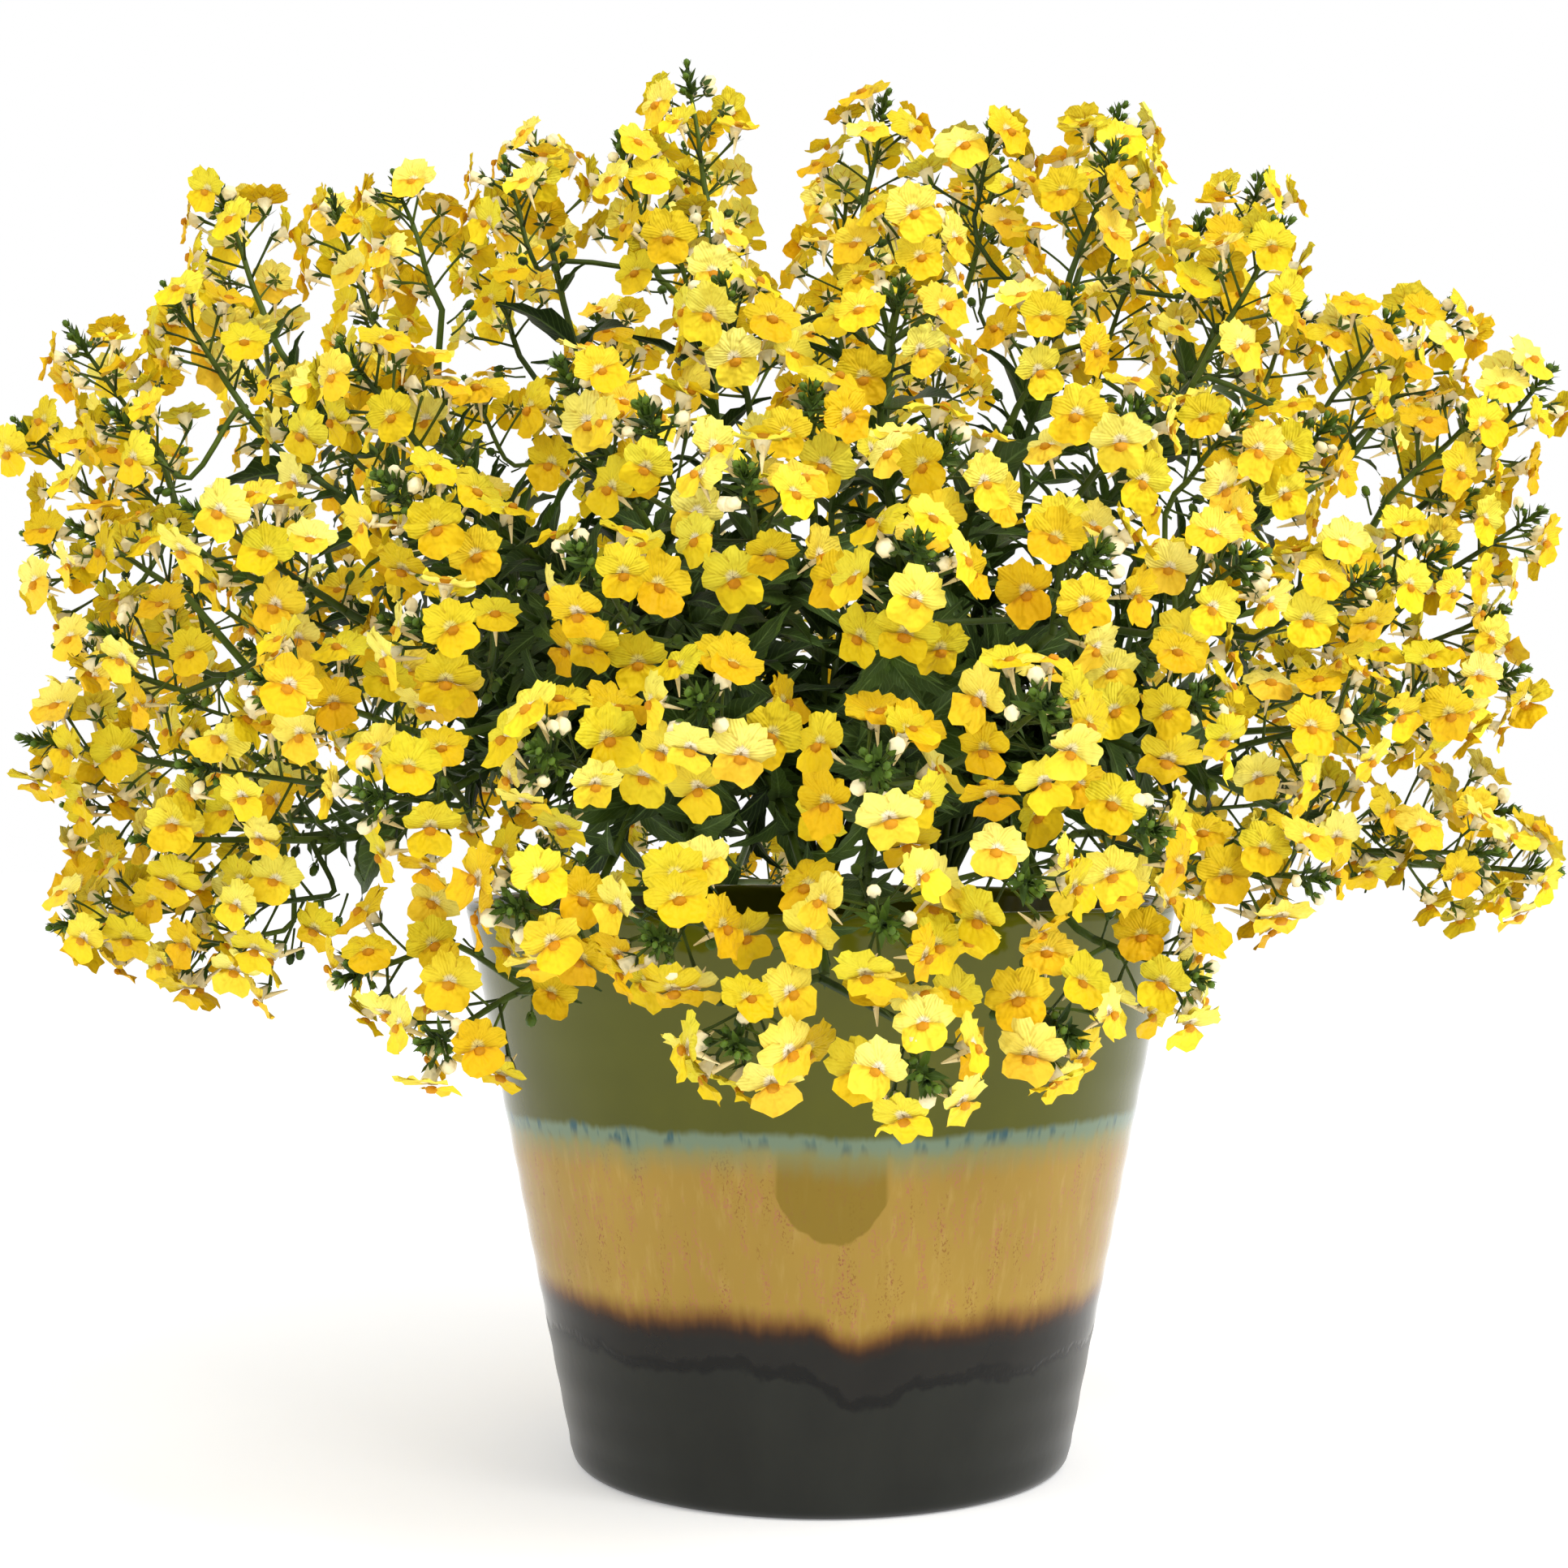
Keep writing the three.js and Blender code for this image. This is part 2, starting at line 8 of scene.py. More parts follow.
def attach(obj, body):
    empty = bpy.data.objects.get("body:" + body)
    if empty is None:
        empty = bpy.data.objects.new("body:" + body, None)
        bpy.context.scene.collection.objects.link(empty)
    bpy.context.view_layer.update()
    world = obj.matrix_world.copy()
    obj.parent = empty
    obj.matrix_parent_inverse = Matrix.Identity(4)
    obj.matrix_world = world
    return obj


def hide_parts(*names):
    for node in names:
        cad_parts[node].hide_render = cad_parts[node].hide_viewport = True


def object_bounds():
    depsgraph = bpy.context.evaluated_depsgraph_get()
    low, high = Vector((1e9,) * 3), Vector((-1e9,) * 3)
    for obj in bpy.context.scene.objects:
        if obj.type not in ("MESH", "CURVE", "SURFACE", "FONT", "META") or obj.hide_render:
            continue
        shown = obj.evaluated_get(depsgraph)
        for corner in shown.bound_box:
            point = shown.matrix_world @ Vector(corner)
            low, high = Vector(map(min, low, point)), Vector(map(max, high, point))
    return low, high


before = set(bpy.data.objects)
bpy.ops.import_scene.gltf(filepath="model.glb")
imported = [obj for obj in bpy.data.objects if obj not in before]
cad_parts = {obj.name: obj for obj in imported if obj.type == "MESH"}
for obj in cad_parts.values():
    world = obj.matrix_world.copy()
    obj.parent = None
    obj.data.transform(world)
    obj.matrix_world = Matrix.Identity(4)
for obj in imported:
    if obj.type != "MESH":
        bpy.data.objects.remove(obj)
cad_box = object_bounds()

# A nemesia in flower in a glazed pot. All shapes are worked out in millimetres, with Z up and the
# origin at the middle of the pot's foot, and are turned to metres when a piece is finished.
METRE = 0.001
UP = Vector((0, 0, 1))

# Dimensions shared with the solids
GAP = 0.3
POT_HEIGHT, FOOT_RADIUS, FLARE, WALL, POT_FLOOR = 195, 86, 0.194, 7, 9
SOIL_EDGE, SOIL_TOP = 176, 181
CROWN_RING, CROWN_DEPTH, CROWN_TOP = 45, 30, 191
STEM_RADIUS, STEM_REACH, STEM_RISE, STEM_LEAST = 1.4, 46, 0.42, 126
STALK_RADIUS, STALK_TIP_RADIUS, STALK_FORK, STALK_BACK = 1.5, 0.9, 4, 3
SPIKE_SHORTEST, SPIKE_SPREAD, SPIKE_TWIST = 34, 14, 137.5
SPIKE_LEVEL, SPIKE_LEAN, SPIKE_LEAST_TILT, SPIKE_MOST_TILT = 215, 0.34, -14, 80
SPIKE_FEWEST, SPIKE_MORE = 3, 0.35
PEDICEL_LOW, PEDICEL_HIGH, PEDICEL_LOW_TILT, PEDICEL_HIGH_TILT = 17, 12, 68, 42
BLOOM_SPUR, BLOOM_LEAST, BLOOM_MORE, BLOOM_LEAN = 5, 0.86, 0.22, 64
BLOOM_CLEAR, BLOOM_KIN, BLOOM_NEAR, BLOOM_OFF_POT, BLOOM_TURNS = 24.6, 16, 14.6, 13, 6
TURN_STEP = 50
LEAF_LENGTH, LEAF_WIDTH, LEAF_TURN = 36, 11, -45
LEAF_SHARE, LEAF_OFF_POT, LEAF_APART, LEAF_OFF_BLOOM = 0.24, 7, 7, 15
LEAF_PLACES = (0.42, 0.62, 0.82)
PLANTS = (("plant_back", 90), ("plant_left", 210), ("plant_right", 330))
TWIST_FROM = Vector((0.31, 0.17, 0.93))

# Middles of the flower spikes, one row for each branch that carries them
TOP_SPRAYS = [
    [(-43, 20, 462), (-62, -8, 430)],
    [(18, 0, 449), (58, 28, 432)],
    [(10, 66, 434)],
    [(98, -10, 444), (88, -46, 418)],
    [(152, 30, 428)],
    [(-100, 38, 445)],
    [(-140, 2, 421), (-170, 42, 424)],
    [(-204, 10, 421)],
    [(26, -60, 402)],
]
SIDE_SPRAYS = [
    [(-210, -20, 382)],
    [(-250, 22, 372), (-263, 12, 342)],
    [(-230, -32, 308), (-235, -20, 272)],
    [(-230, -60, 244), (-222, -60, 192)],
    [(-186, -92, 217)],
    [(135, -60, 390)],
    [(212, 20, 384)],
    [(236, 0, 357), (203, -42, 343)],
    [(222, -20, 312), (214, -32, 266)],
    [(226, -20, 206)],
]
FRONT_SPRAYS = [
    [(-134, -110, 350)],
    [(-112, -150, 306)],
    [(-172, -110, 304)],
    [(-70, -115, 342)],
    [(-27, -92, 368)],
    [(-4, -130, 334)],
    [(68, -90, 368)],
    [(80, -145, 328), (106, -158, 288)],
    [(140, -90, 330), (148, -112, 288)],
    [(21, -200, 288)],
    [(-60, -180, 286), (-21, -178, 308)],
    [(50, -216, 250), (10, -215, 236)],
    [(-145, -150, 258)],
    [(-71, -192, 240), (-32, -200, 252)],
    [(142, -120, 250)],
    [(-78, -195, 203), (-42, -206, 196)],
    [(-98, -180, 170)],
    [(-23, -210, 171), (22, -204, 163)],
    [(12, -220, 200)],
    [(94, -150, 183)],
    [(125, -132, 208), (79, -180, 221)],
]
BACK_SPRAYS = [
    [(-120, 95, 418), (-80, 120, 398)],
    [(0, 135, 402), (48, 130, 388)],
    [(115, 100, 412)],
    [(-205, 85, 372), (-170, 120, 345)],
    [(180, 105, 350)],
    [(-225, 85, 300)],
    [(-80, 185, 318)],
    [(20, 195, 330), (70, 190, 302)],
    [(-180, 140, 262), (-140, 170, 235)],
    [(180, 130, 280), (215, 85, 262)],
    [(-40, 225, 250)],
    [(50, 220, 240), (105, 190, 255)],
    [(-215, 70, 222)],
    [(150, 150, 205)],
    [(-75, 200, 180), (-20, 222, 190)],
]
SPRAYS = TOP_SPRAYS + SIDE_SPRAYS + FRONT_SPRAYS + BACK_SPRAYS

# The flowers as they really are, smaller and closer together than in the solids, with small side
# spikes that fill in between the main ones
PETAL_REACH = 9.3
FLOWERS_BETWEEN, FIRST_BETWEEN, BETWEEN_LOWEST = 8, 10, 134
BETWEEN_CLEAR, BETWEEN_KIN, BETWEEN_NEAR, BETWEEN_OFF_POT, BETWEEN_TURNS = 16, 12.5, 5, 10.5, 7
SIDE_SPIKE_APART, SIDE_SPIKE_LENGTH, SIDE_SPIKE_LIFT = 37, 30, 1.035
SIDE_SPIKE_OFF_POT, SIDE_SPIKE_INSIDE, SIDE_SPIKE_SEED = 24, 10, 500
PAIR_NEAREST, PAIR_FARTHEST = 40, 115
TUFT_BRACTS = 20
FINE_LEAVES, FINE_LEAF_APART, FINE_LEAF_OFF_BLOOM = 20, 3.5, 8.5
# Weights of what a flower faces: away from its spike, up it, out of the mound, and at random
FACE_OUT, FACE_UP, FACE_MOUND, FACE_STRAY = 0.95, 0.3, 0.6, 0.9
# Height above the foot of a plant's crown, and radius there
CROWN_RINGS = ((0, 6.9), (14, 6.7), (24, 6.3), (32, 5.8), (37, 5.0), (40, 3.2))
MOUND_MIDDLE = Vector((0, 0, 250))
OPEN_CORNER, OPEN_REACH = Vector((185, 10, 402)), 54
SIDE_SPIKES = [
    (215, -10, 224), (171, -45, 220), (-236, -30, 226), (-168, -100, 198), (-123, -160, 184),
    (-160, -60, 348), (-126, -78, 350), (-117, -112, 311), (207, -14, 322), (210, -24, 284),
    (-152, -76, 281), (-118, -112, 276), (-193, -64, 220), (-190, -66, 184), (200, -44, 212),
    (133, -16, 384), (-236, -24, 196), (238, -10, 222), (172, 62, 264), (158, 74, 226),
    (186, 44, 304),
]

# What each shape says about itself in the first part of its mark, and its material's slot
UPPER_LIP, LOWER_LIP, PALATE, CREAM = 0.0, 0.3, 0.6, 1.0
STEM, LEAF, BRACT = 0.0, 0.5, 1.0
PETAL_SLOT, GREEN_SLOT = 0, 1


def drawn(a, b, c):
    """A number from 0 to 1 that is always the same for the same three whole numbers."""
    whole = 0xFFFFFFFF
    h = ((a + 1) * 0x9E3779B1 & whole) ^ ((b + 1) * 0x85EBCA6B & whole)
    h ^= (c + 1) * 0xC2B2AE35 & whole
    h = (h ^ (h >> 15)) * 0x2C1B3C6D & whole
    h = (h ^ (h >> 12)) * 0x297A2D39 & whole
    h ^= h >> 15
    return h / 4294967296


def between(low, high, share):
    return low + (high - low) * share


def turned(vector, axis, degrees):
    return Matrix.Rotation(math.radians(degrees), 3, axis) @ vector


def pot_radius(z):
    return FOOT_RADIUS + FLARE * z


def outside_pot(point, margin):
    wide = math.hypot(point.x, point.y)
    return point.z > POT_HEIGHT + margin or wide > pot_radius(point.z) + margin


def inside_box(point, margin):
    """Whether a point lies in the box round all the solids, that far from its sides and top."""
    low, high = cad_box
    across = all(low[i] / METRE + margin < point[i] < high[i] / METRE - margin for i in (0, 1))
    return across and point.z < high[2] / METRE - margin


# Where the spikes, stems and flowers are, by the same rules as the solids
def spike_axis(middle):
    tilt = min(max((middle.z - SPIKE_LEVEL) * SPIKE_LEAN, SPIKE_LEAST_TILT), SPIKE_MOST_TILT)
    tilt = math.radians(tilt)
    flat = Vector((middle.x, middle.y, 0)).normalized()
    return flat * math.cos(tilt) + UP * math.sin(tilt)


def nearest_plant(point):
    azimuth = math.degrees(math.atan2(point.y, point.x))
    return min(PLANTS, key=lambda plant: abs((azimuth - plant[1] + 180) % 360 - 180))


def plan_spray(rows, number):
    """Each spike's own line, and the point where its branch leaves the green stem."""
    spikes = []
    for k, row in enumerate(rows):
        middle = Vector(row)
        axis = spike_axis(middle)
        half = axis * (SPIKE_SHORTEST + SPIKE_SPREAD * drawn(number, k, 0)) / 2
        seed = number * 2 + k
        count = SPIKE_FEWEST + (1 if drawn(seed, 0, 4) < SPIKE_MORE else 0)
        spikes.append({"base": middle - half, "tip": middle + half, "axis": axis,
                       "count": count, "seed": seed})
    heading = sum((s["axis"] for s in spikes), Vector()).normalized()
    apart = (spikes[0]["base"] - spikes[-1]["base"]).length
    root = sum((s["base"] for s in spikes), Vector()) / len(spikes)
    root -= heading * (STALK_FORK + STALK_BACK + apart * 0.55)
    return {"spikes": spikes, "root": root, "heading": heading,
            "plant": nearest_plant(root), "number": number}


def add_side_spikes(sprays):
    """Small spikes halfway between neighbours, each on the branch that is nearest to it."""
    middles = [(s["base"] + s["tip"]) / 2 for spray in sprays for s in spray["spikes"]]
    halfway = []
    for i, first in enumerate(middles):
        for second in middles[:i]:
            if PAIR_NEAREST < (first - second).length < PAIR_FARTHEST:
                spot = (first + second) / 2 - MOUND_MIDDLE
                halfway.append(MOUND_MIDDLE + spot * SIDE_SPIKE_LIFT)
    room = {id(spot): min((spot - other).length for other in middles) for spot in halfway}
    halfway.sort(key=lambda spot: -room[id(spot)])
    for i, spot in enumerate([Vector(row) for row in SIDE_SPIKES] + halfway):
        apart = min((spot - other).length for other in middles)
        if i >= len(SIDE_SPIKES) and apart < SIDE_SPIKE_APART:
            continue
        if not outside_pot(spot, SIDE_SPIKE_OFF_POT) or (spot - OPEN_CORNER).length < OPEN_REACH:
            continue
        axis = spike_axis(spot)
        if not inside_box(spot + axis * SIDE_SPIKE_LENGTH * 0.6, SIDE_SPIKE_INSIDE):
            continue
        middles.append(spot)
        spray = min(sprays, key=lambda item: (item["root"] + item["heading"] * 10 - spot).length)
        seed = SIDE_SPIKE_SEED + len(middles)
        half = axis * (SIDE_SPIKE_LENGTH * between(0.8, 1.2, drawn(seed, 0, 0))) / 2
        spray["spikes"].append({"base": spot - half, "tip": spot + half, "axis": axis,
                                "count": 0, "seed": seed})


def crown_foot(plant, z):
    turn = math.radians(plant[1])
    return Vector((CROWN_RING * math.cos(turn), CROWN_RING * math.sin(turn), z))


def stem_handles(spray):
    """The four points of a stem's curve, which leaves the crown steeply."""
    start = crown_foot(spray["plant"], CROWN_TOP - 5)
    end = spray["root"] - spray["heading"] * GAP
    flat = Vector((end.x - start.x, end.y - start.y, 0))
    rise = max(STEM_LEAST, (end.z - start.z) * STEM_RISE)
    first = start + flat * 0.22
    first.z = start.z + rise
    return start, first, end - spray["heading"] * STEM_REACH, end


def on_curve(handles, t):
    a, b, c, d = handles
    s = 1 - t
    return a * s ** 3 + b * 3 * s * s * t + c * 3 * s * t * t + d * t ** 3


def curve_way(handles, t):
    a, b, c, d = handles
    s = 1 - t
    return ((b - a) * s * s + (c - b) * 2 * s * t + (d - c) * t * t).normalized()


def flower_place(spike, k, share, turn_by):
    """A frame for a flower that faces outward, with its upper lip up."""
    side = spike["axis"].cross(TWIST_FROM).normalized()
    turn = SPIKE_TWIST * k + 360 * drawn(spike["seed"], 0, 1) + turn_by
    out = turned(side, spike["axis"], turn)
    root = spike["base"].lerp(spike["tip"], 0.06 + 0.8 * share)
    tilt = math.radians(between(PEDICEL_LOW_TILT, PEDICEL_HIGH_TILT, share))
    length = between(PEDICEL_LOW, PEDICEL_HIGH, share)
    way = out * math.sin(tilt) + spike["axis"] * math.cos(tilt)
    neck = root + way * length
    middle = neck + (out * 0.75 + spike["axis"] * 0.6).normalized() * BLOOM_SPUR
    outward = middle - MOUND_MIDDLE
    outward.z *= 0.3
    seed = spike["seed"]
    stray = Vector((drawn(seed, k, 61) - 0.5, drawn(seed, k, 62) - 0.5, drawn(seed, k, 63) - 0.6))
    face = out * FACE_OUT + spike["axis"] * FACE_UP
    face = (face + outward.normalized() * FACE_MOUND + stray * FACE_STRAY).normalized()
    return {"root": root, "face": face, "middle": middle, "k": k, "seed": seed,
            "size": BLOOM_LEAST + BLOOM_MORE * drawn(seed, k, 2),
            "lean": BLOOM_LEAN * (drawn(seed, k, 3) - 0.5)}


def flower_matrix(place):
    face = place["face"]
    across = UP.cross(face)
    if across.length < 0.1:
        across = Vector((1, 0, 0))
    across = turned(across.normalized(), face, place["lean"])
    up = face.cross(across).normalized()
    across = up.cross(face)
    turn = Matrix((across, up, face)).transposed().to_4x4()
    return Matrix.Translation(place["middle"]) @ turn @ Matrix.Scale(place["size"], 4)


def near_line(point, line):
    least = 1e9
    for start, end in zip(line, line[1:]):
        spot, share = geometry.intersect_point_line(point, start, end)
        spot = start if share < 0 else end if share > 1 else spot
        least = min(least, (spot - point).length)
    return least


def lines_of(spray):
    handles = stem_handles(spray)
    lines = [[on_curve(handles, i / 8) for i in range(9)]]
    lines += [[spray["root"], s["base"], s["tip"]] for s in spray["spikes"]]
    return [(line, spray["number"]) for line in lines]


def place_flowers(sprays):
    """Every flower's place: first those of the solids, then those that fill in between them."""
    lines = [item for spray in sprays for item in lines_of(spray)]
    placed = []

    def add(place, number, off_pot, kin, clear, near):
        middle = place["middle"]
        if not outside_pot(middle, off_pot):
            return False
        low_or_outside = middle.z < BETWEEN_LOWEST or not inside_box(middle, PETAL_REACH + 2)
        if place["k"] >= FIRST_BETWEEN and low_or_outside:
            return False
        for other in placed:
            least = kin if other["number"] == number else clear
            if (other["middle"] - middle).length <= least:
                return False
        for line, owner in lines:
            if owner != number and near_line(middle, line) <= near:
                return False
        placed.append({**place, "number": number})
        return True

    for spray in sprays:
        for spike in spray["spikes"]:
            for k in range(spike["count"]):
                share = (k + 0.5) / spike["count"]
                any(add(flower_place(spike, k, share, step * TURN_STEP), spray["number"],
                        BLOOM_OFF_POT, BLOOM_KIN, BLOOM_CLEAR, BLOOM_NEAR)
                    for step in range(BLOOM_TURNS))
    for spray in sprays:
        for spike in spray["spikes"]:
            for k in range(FLOWERS_BETWEEN):
                share = (k + 0.3) / FLOWERS_BETWEEN
                any(add(flower_place(spike, FIRST_BETWEEN + k, share, step * TURN_STEP),
                        spray["number"], BETWEEN_OFF_POT, BETWEEN_KIN, BETWEEN_CLEAR, BETWEEN_NEAR)
                    for step in range(BETWEEN_TURNS))
    return placed


# Small shapes that are copied many times. Each is a mesh with a UV map and a mark: the kind of
# surface, two numbers of its own plant or flower, and one of its own lobe.
def start_shape():
    bm = bmesh.new()
    bm.verts.layers.float_color.new("mark")
    bm.loops.layers.uv.new("surface")
    return bm


def mark_shape(bm, verts, kind, slot, lobe=0.5):
    mark = bm.verts.layers.float_color["mark"]
    for vert in verts:
        vert[mark] = (kind, 0.5, 0.5, lobe)
    for face in {face for vert in verts for face in vert.link_faces}:
        face.smooth = True
        face.material_index = slot


def keep_shape(bm, name):
    mesh = bpy.data.meshes.new(name)
    bm.to_mesh(mesh)
    bm.free()
    return mesh


def add_sheet(bm, columns, rows, place_point, kind, slot, lobe=0.5):
    """A thin sheet of a few faces. place_point gives a corner's place by its share across, from
    -1 to 1, and its share along, from 0 to 1."""
    verts = bmesh.ops.create_grid(bm, x_segments=columns, y_segments=rows, size=1)["verts"]
    uv = bm.loops.layers.uv["surface"]
    shares = {vert: (vert.co.x, (vert.co.y + 1) / 2) for vert in verts}
    for face in {face for vert in verts for face in vert.link_faces}:
        for loop in face.loops:
            across, along = shares[loop.vert]
            loop[uv].uv = ((across + 1) / 2, along)
    for vert in verts:
        vert.co = place_point(*shares[vert])
    mark_shape(bm, verts, kind, slot, lobe)
    return verts


def along_row(values, along):
    """The value at a share along, from a row of evenly spaced values."""
    spot = along * (len(values) - 1)
    low = min(int(spot), len(values) - 2)
    return between(values[low], values[low + 1], spot - low)


def upper_lobe(bm, turn, reach, width, lift, fold, seed):
    """One of the four rounded lobes of the upper lip, fanned out from the throat."""
    way = Vector((-math.sin(math.radians(turn)), math.cos(math.radians(turn)), 0))
    side = Vector((way.y, -way.x, 0))
    widths = (0.4, 0.82, 1.0, 0.8)

    def point(u, t):
        wave = 0.06 * math.sin(5.3 * u + seed) * t
        far = 0.3 + (reach - 0.3) * (t * (1 + wave) - 0.17 * u * u * t * t)
        crown = 0.55 * (1 - u * u) * math.sin(math.pi * t)
        rise = lift * t * t + fold * u * u * t + crown + 0.7 * math.sin(3.6 * u + 2 * seed) * t * t
        return way * far + side * (u * width * along_row(widths, t)) + UP * rise

    add_sheet(bm, 4, 3, point, UPPER_LIP, PETAL_SLOT, drawn(seed, 3, 1))


def lower_lip(bm, reach, spread, drop, seed):
    """The broad notched lobe that hangs forward below the throat."""

    def point(u, t):
        turn = math.radians(spread * u)
        notch = 0.15 * math.exp(-((u / 0.17) ** 2)) + 0.42 * abs(u) ** 2.8
        far = 0.5 + (reach * (1 + 0.035 * math.sin(8 * u + seed)) - 0.5) * (t - notch * t * t)
        ruffle = 1.0 * math.sin(8 * u + seed) * t * t
        rise = 0.5 + drop * t + 1.1 * math.exp(-(((t - 0.2) / 0.25) ** 2)) + ruffle
        return Vector((far * math.sin(turn), -far * math.cos(turn), rise))

    add_sheet(bm, 10, 3, point, LOWER_LIP, PETAL_SLOT, drawn(seed, 5, 1))


def flower_shape(name, seed, spread, lift, drop):
    """One open flower, facing up its own Z, with its neck 5 mm below."""
    bm = start_shape()
    reach = PETAL_REACH
    for i, (turn, long) in enumerate(((25, 1.0), (-25, 0.95), (75, 0.94), (-75, 0.99))):
        off = 7 * (drawn(seed, i, 2) - 0.5)
        upper_lobe(bm, turn * spread + off, reach * long, reach * 0.39,
                   lift + 0.6 * (drawn(seed, i, 3) - 0.5) + (0.25 if i > 1 else 0),
                   1.3 * (drawn(seed, i, 4) - 0.35), seed * 4 + i)
    lower_lip(bm, reach * 1.04, 78, drop, seed * 4 + 9)
    hump = bmesh.ops.create_uvsphere(bm, u_segments=6, v_segments=4, radius=1)["verts"]
    for vert in hump:
        x, y, z = vert.co
        vert.co = (2.0 * x, 1.5 * y - 1.4, (1.1 + 0.4 * abs(x)) * z + 1.6)
    mark_shape(bm, hump, PALATE, PETAL_SLOT)
    funnel = bmesh.ops.create_cone(bm, segments=5, radius1=0.8, radius2=2.7, depth=5.4,
                                   matrix=Matrix.Translation((0, 0, -2.5)))["verts"]
    mark_shape(bm, funnel, CREAM, PETAL_SLOT)
    spur_turn = Matrix.Rotation(math.radians(155), 4, "X")
    spur = bmesh.ops.create_cone(bm, segments=4, radius1=1.1, radius2=0.2, depth=8,
                                 matrix=Matrix.Translation((0, -3.2, -5.2)) @ spur_turn)["verts"]
    mark_shape(bm, spur, CREAM, PETAL_SLOT, 0.1)
    add_sepals(bm, 5, Vector((0, 0, -5.4)), 0.7, 4.4, 0.62, 52)
    return keep_shape(bm, name)


def add_sepals(bm, count, foot, start, length, width, tilt):
    """A ring of narrow green points round the Z axis, tilted out from it."""
    for i in range(count):
        turn = 2 * math.pi * (i + 0.5) / count
        out = Vector((math.cos(turn), math.sin(turn), 0))
        side = Vector((-math.sin(turn), math.cos(turn), 0))
        way = out * math.sin(math.radians(tilt)) + UP * math.cos(math.radians(tilt))

        def point(u, t):
            wide = width * (1, 1.15, 0.12)[round(t * 2)]
            return foot + out * start + way * (length * t) + side * (u * wide)

        add_sheet(bm, 1, 2, point, BRACT, GREEN_SLOT)


def bract_shape(name, length, width, bend):
    """A narrow pointed leaf of a bud tuft, folded along its middle, lying along its own Y."""
    bm = start_shape()
    widths = (0.45, 1.0, 0.7, 0.08)

    def point(u, t):
        wide = width * along_row(widths, t)
        return Vector((u * wide, length * t, bend * t * t + 0.35 * abs(u) * wide))

    add_sheet(bm, 2, 3, point, BRACT, GREEN_SLOT)
    return keep_shape(bm, name)


def bud_shape(name, kind, slot, radius, length, sepals):
    """A closed bud or a seed capsule, standing on its own Z."""
    bm = start_shape()
    verts = bmesh.ops.create_uvsphere(bm, u_segments=6, v_segments=4, radius=1)["verts"]
    for vert in verts:
        x, y, z = vert.co
        swell = 1 + 0.12 * x * x
        vert.co = (radius * x * swell, radius * 0.85 * y, length * (z + 1) / 2 + 0.4)
    mark_shape(bm, verts, kind, slot)
    add_sepals(bm, 5, Vector((0, 0, 0)), radius * 0.45, length * sepals, radius * 0.3, 26)
    return keep_shape(bm, name)


def leaf_shape(name, seed, teeth):
    """A toothed leaf that lies along its own Y from 0 to 1, half as wide as 1 to each side."""
    bm = start_shape()
    rows = 2 * teeth + 1
    body = (0.1, 0.72, 0.97, 0.92, 0.74, 0.5, 0.26, 0.02)

    def point(u, t):
        step = round(t * rows)
        tooth = 1.1 if step % 2 else 0.86
        wide = along_row(body, t) * (tooth if 0 < step < rows else 1)
        reach = t + (0.035 if step % 2 and abs(u) > 0.9 and step < rows else 0)
        curl = 0.04 * math.sin(9 * t + seed + 2 * u)
        droop = 0.28 * (2 * t * (1 - t) - 0.6 * t * t)
        return Vector((u * wide / 2, reach, droop + abs(u) * (0.1 * wide + curl)))

    add_sheet(bm, 4, rows, point, LEAF, GREEN_SLOT)
    return keep_shape(bm, name)


def straight_tube(sides, sections):
    """A closed tube of radius 1 along Z, with a ring at each whole number."""
    bm = start_shape()
    ring = bmesh.ops.create_circle(bm, segments=sides, radius=1, cap_ends=True)["verts"]
    edges = list({edge for vert in ring for edge in vert.link_edges})
    for _ in range(sections):
        made = bmesh.ops.extrude_edge_only(bm, edges=edges)["geom"]
        verts = [item for item in made if isinstance(item, bmesh.types.BMVert)]
        edges = [item for item in made if isinstance(item, bmesh.types.BMEdge)
                 and all(vert in verts for vert in item.verts)]
        bmesh.ops.translate(bm, vec=(0, 0, 1), verts=verts)
    bmesh.ops.holes_fill(bm, edges=edges, sides=sides)
    bmesh.ops.recalc_face_normals(bm, faces=bm.faces[:])
    mark_shape(bm, bm.verts[:], STEM, GREEN_SLOT)
    return keep_shape(bm, "tube")


def path_frames(path):
    """Two sideways directions at each point, turned as little as can be along the path."""
    across = Vector((1, 0, 0))
    if abs((path[-1] - path[0]).normalized().x) > 0.9:
        across = Vector((0, 1, 0))
    frames = []
    for i in range(len(path)):
        way = (path[min(i + 1, len(path) - 1)] - path[max(i - 1, 0)]).normalized()
        across = (across - way * across.dot(way)).normalized()
        frames.append((across, way.cross(across)))
    return frames


tubes = {}


def lay_tube(bm, path, radii, sides, kind, slot, tint, shade):
    """A round stem along a path, as thick at each point as its radius there."""
    key = (sides, len(path) - 1)
    if key not in tubes:
        tubes[key] = straight_tube(*key)
    before = len(bm.verts)
    bm.from_mesh(tubes[key])
    bm.verts.ensure_lookup_table()
    mark = bm.verts.layers.float_color["mark"]
    frames = path_frames(path)
    faces = set()
    for vert in bm.verts[before:]:
        i = round(vert.co.z)
        across, up = frames[i]
        vert.co = path[i] + (across * vert.co.x + up * vert.co.y) * radii[i]
        vert[mark] = (kind, tint, shade, 0.5)
        faces.update(vert.link_faces)
    for face in faces:
        face.material_index = slot


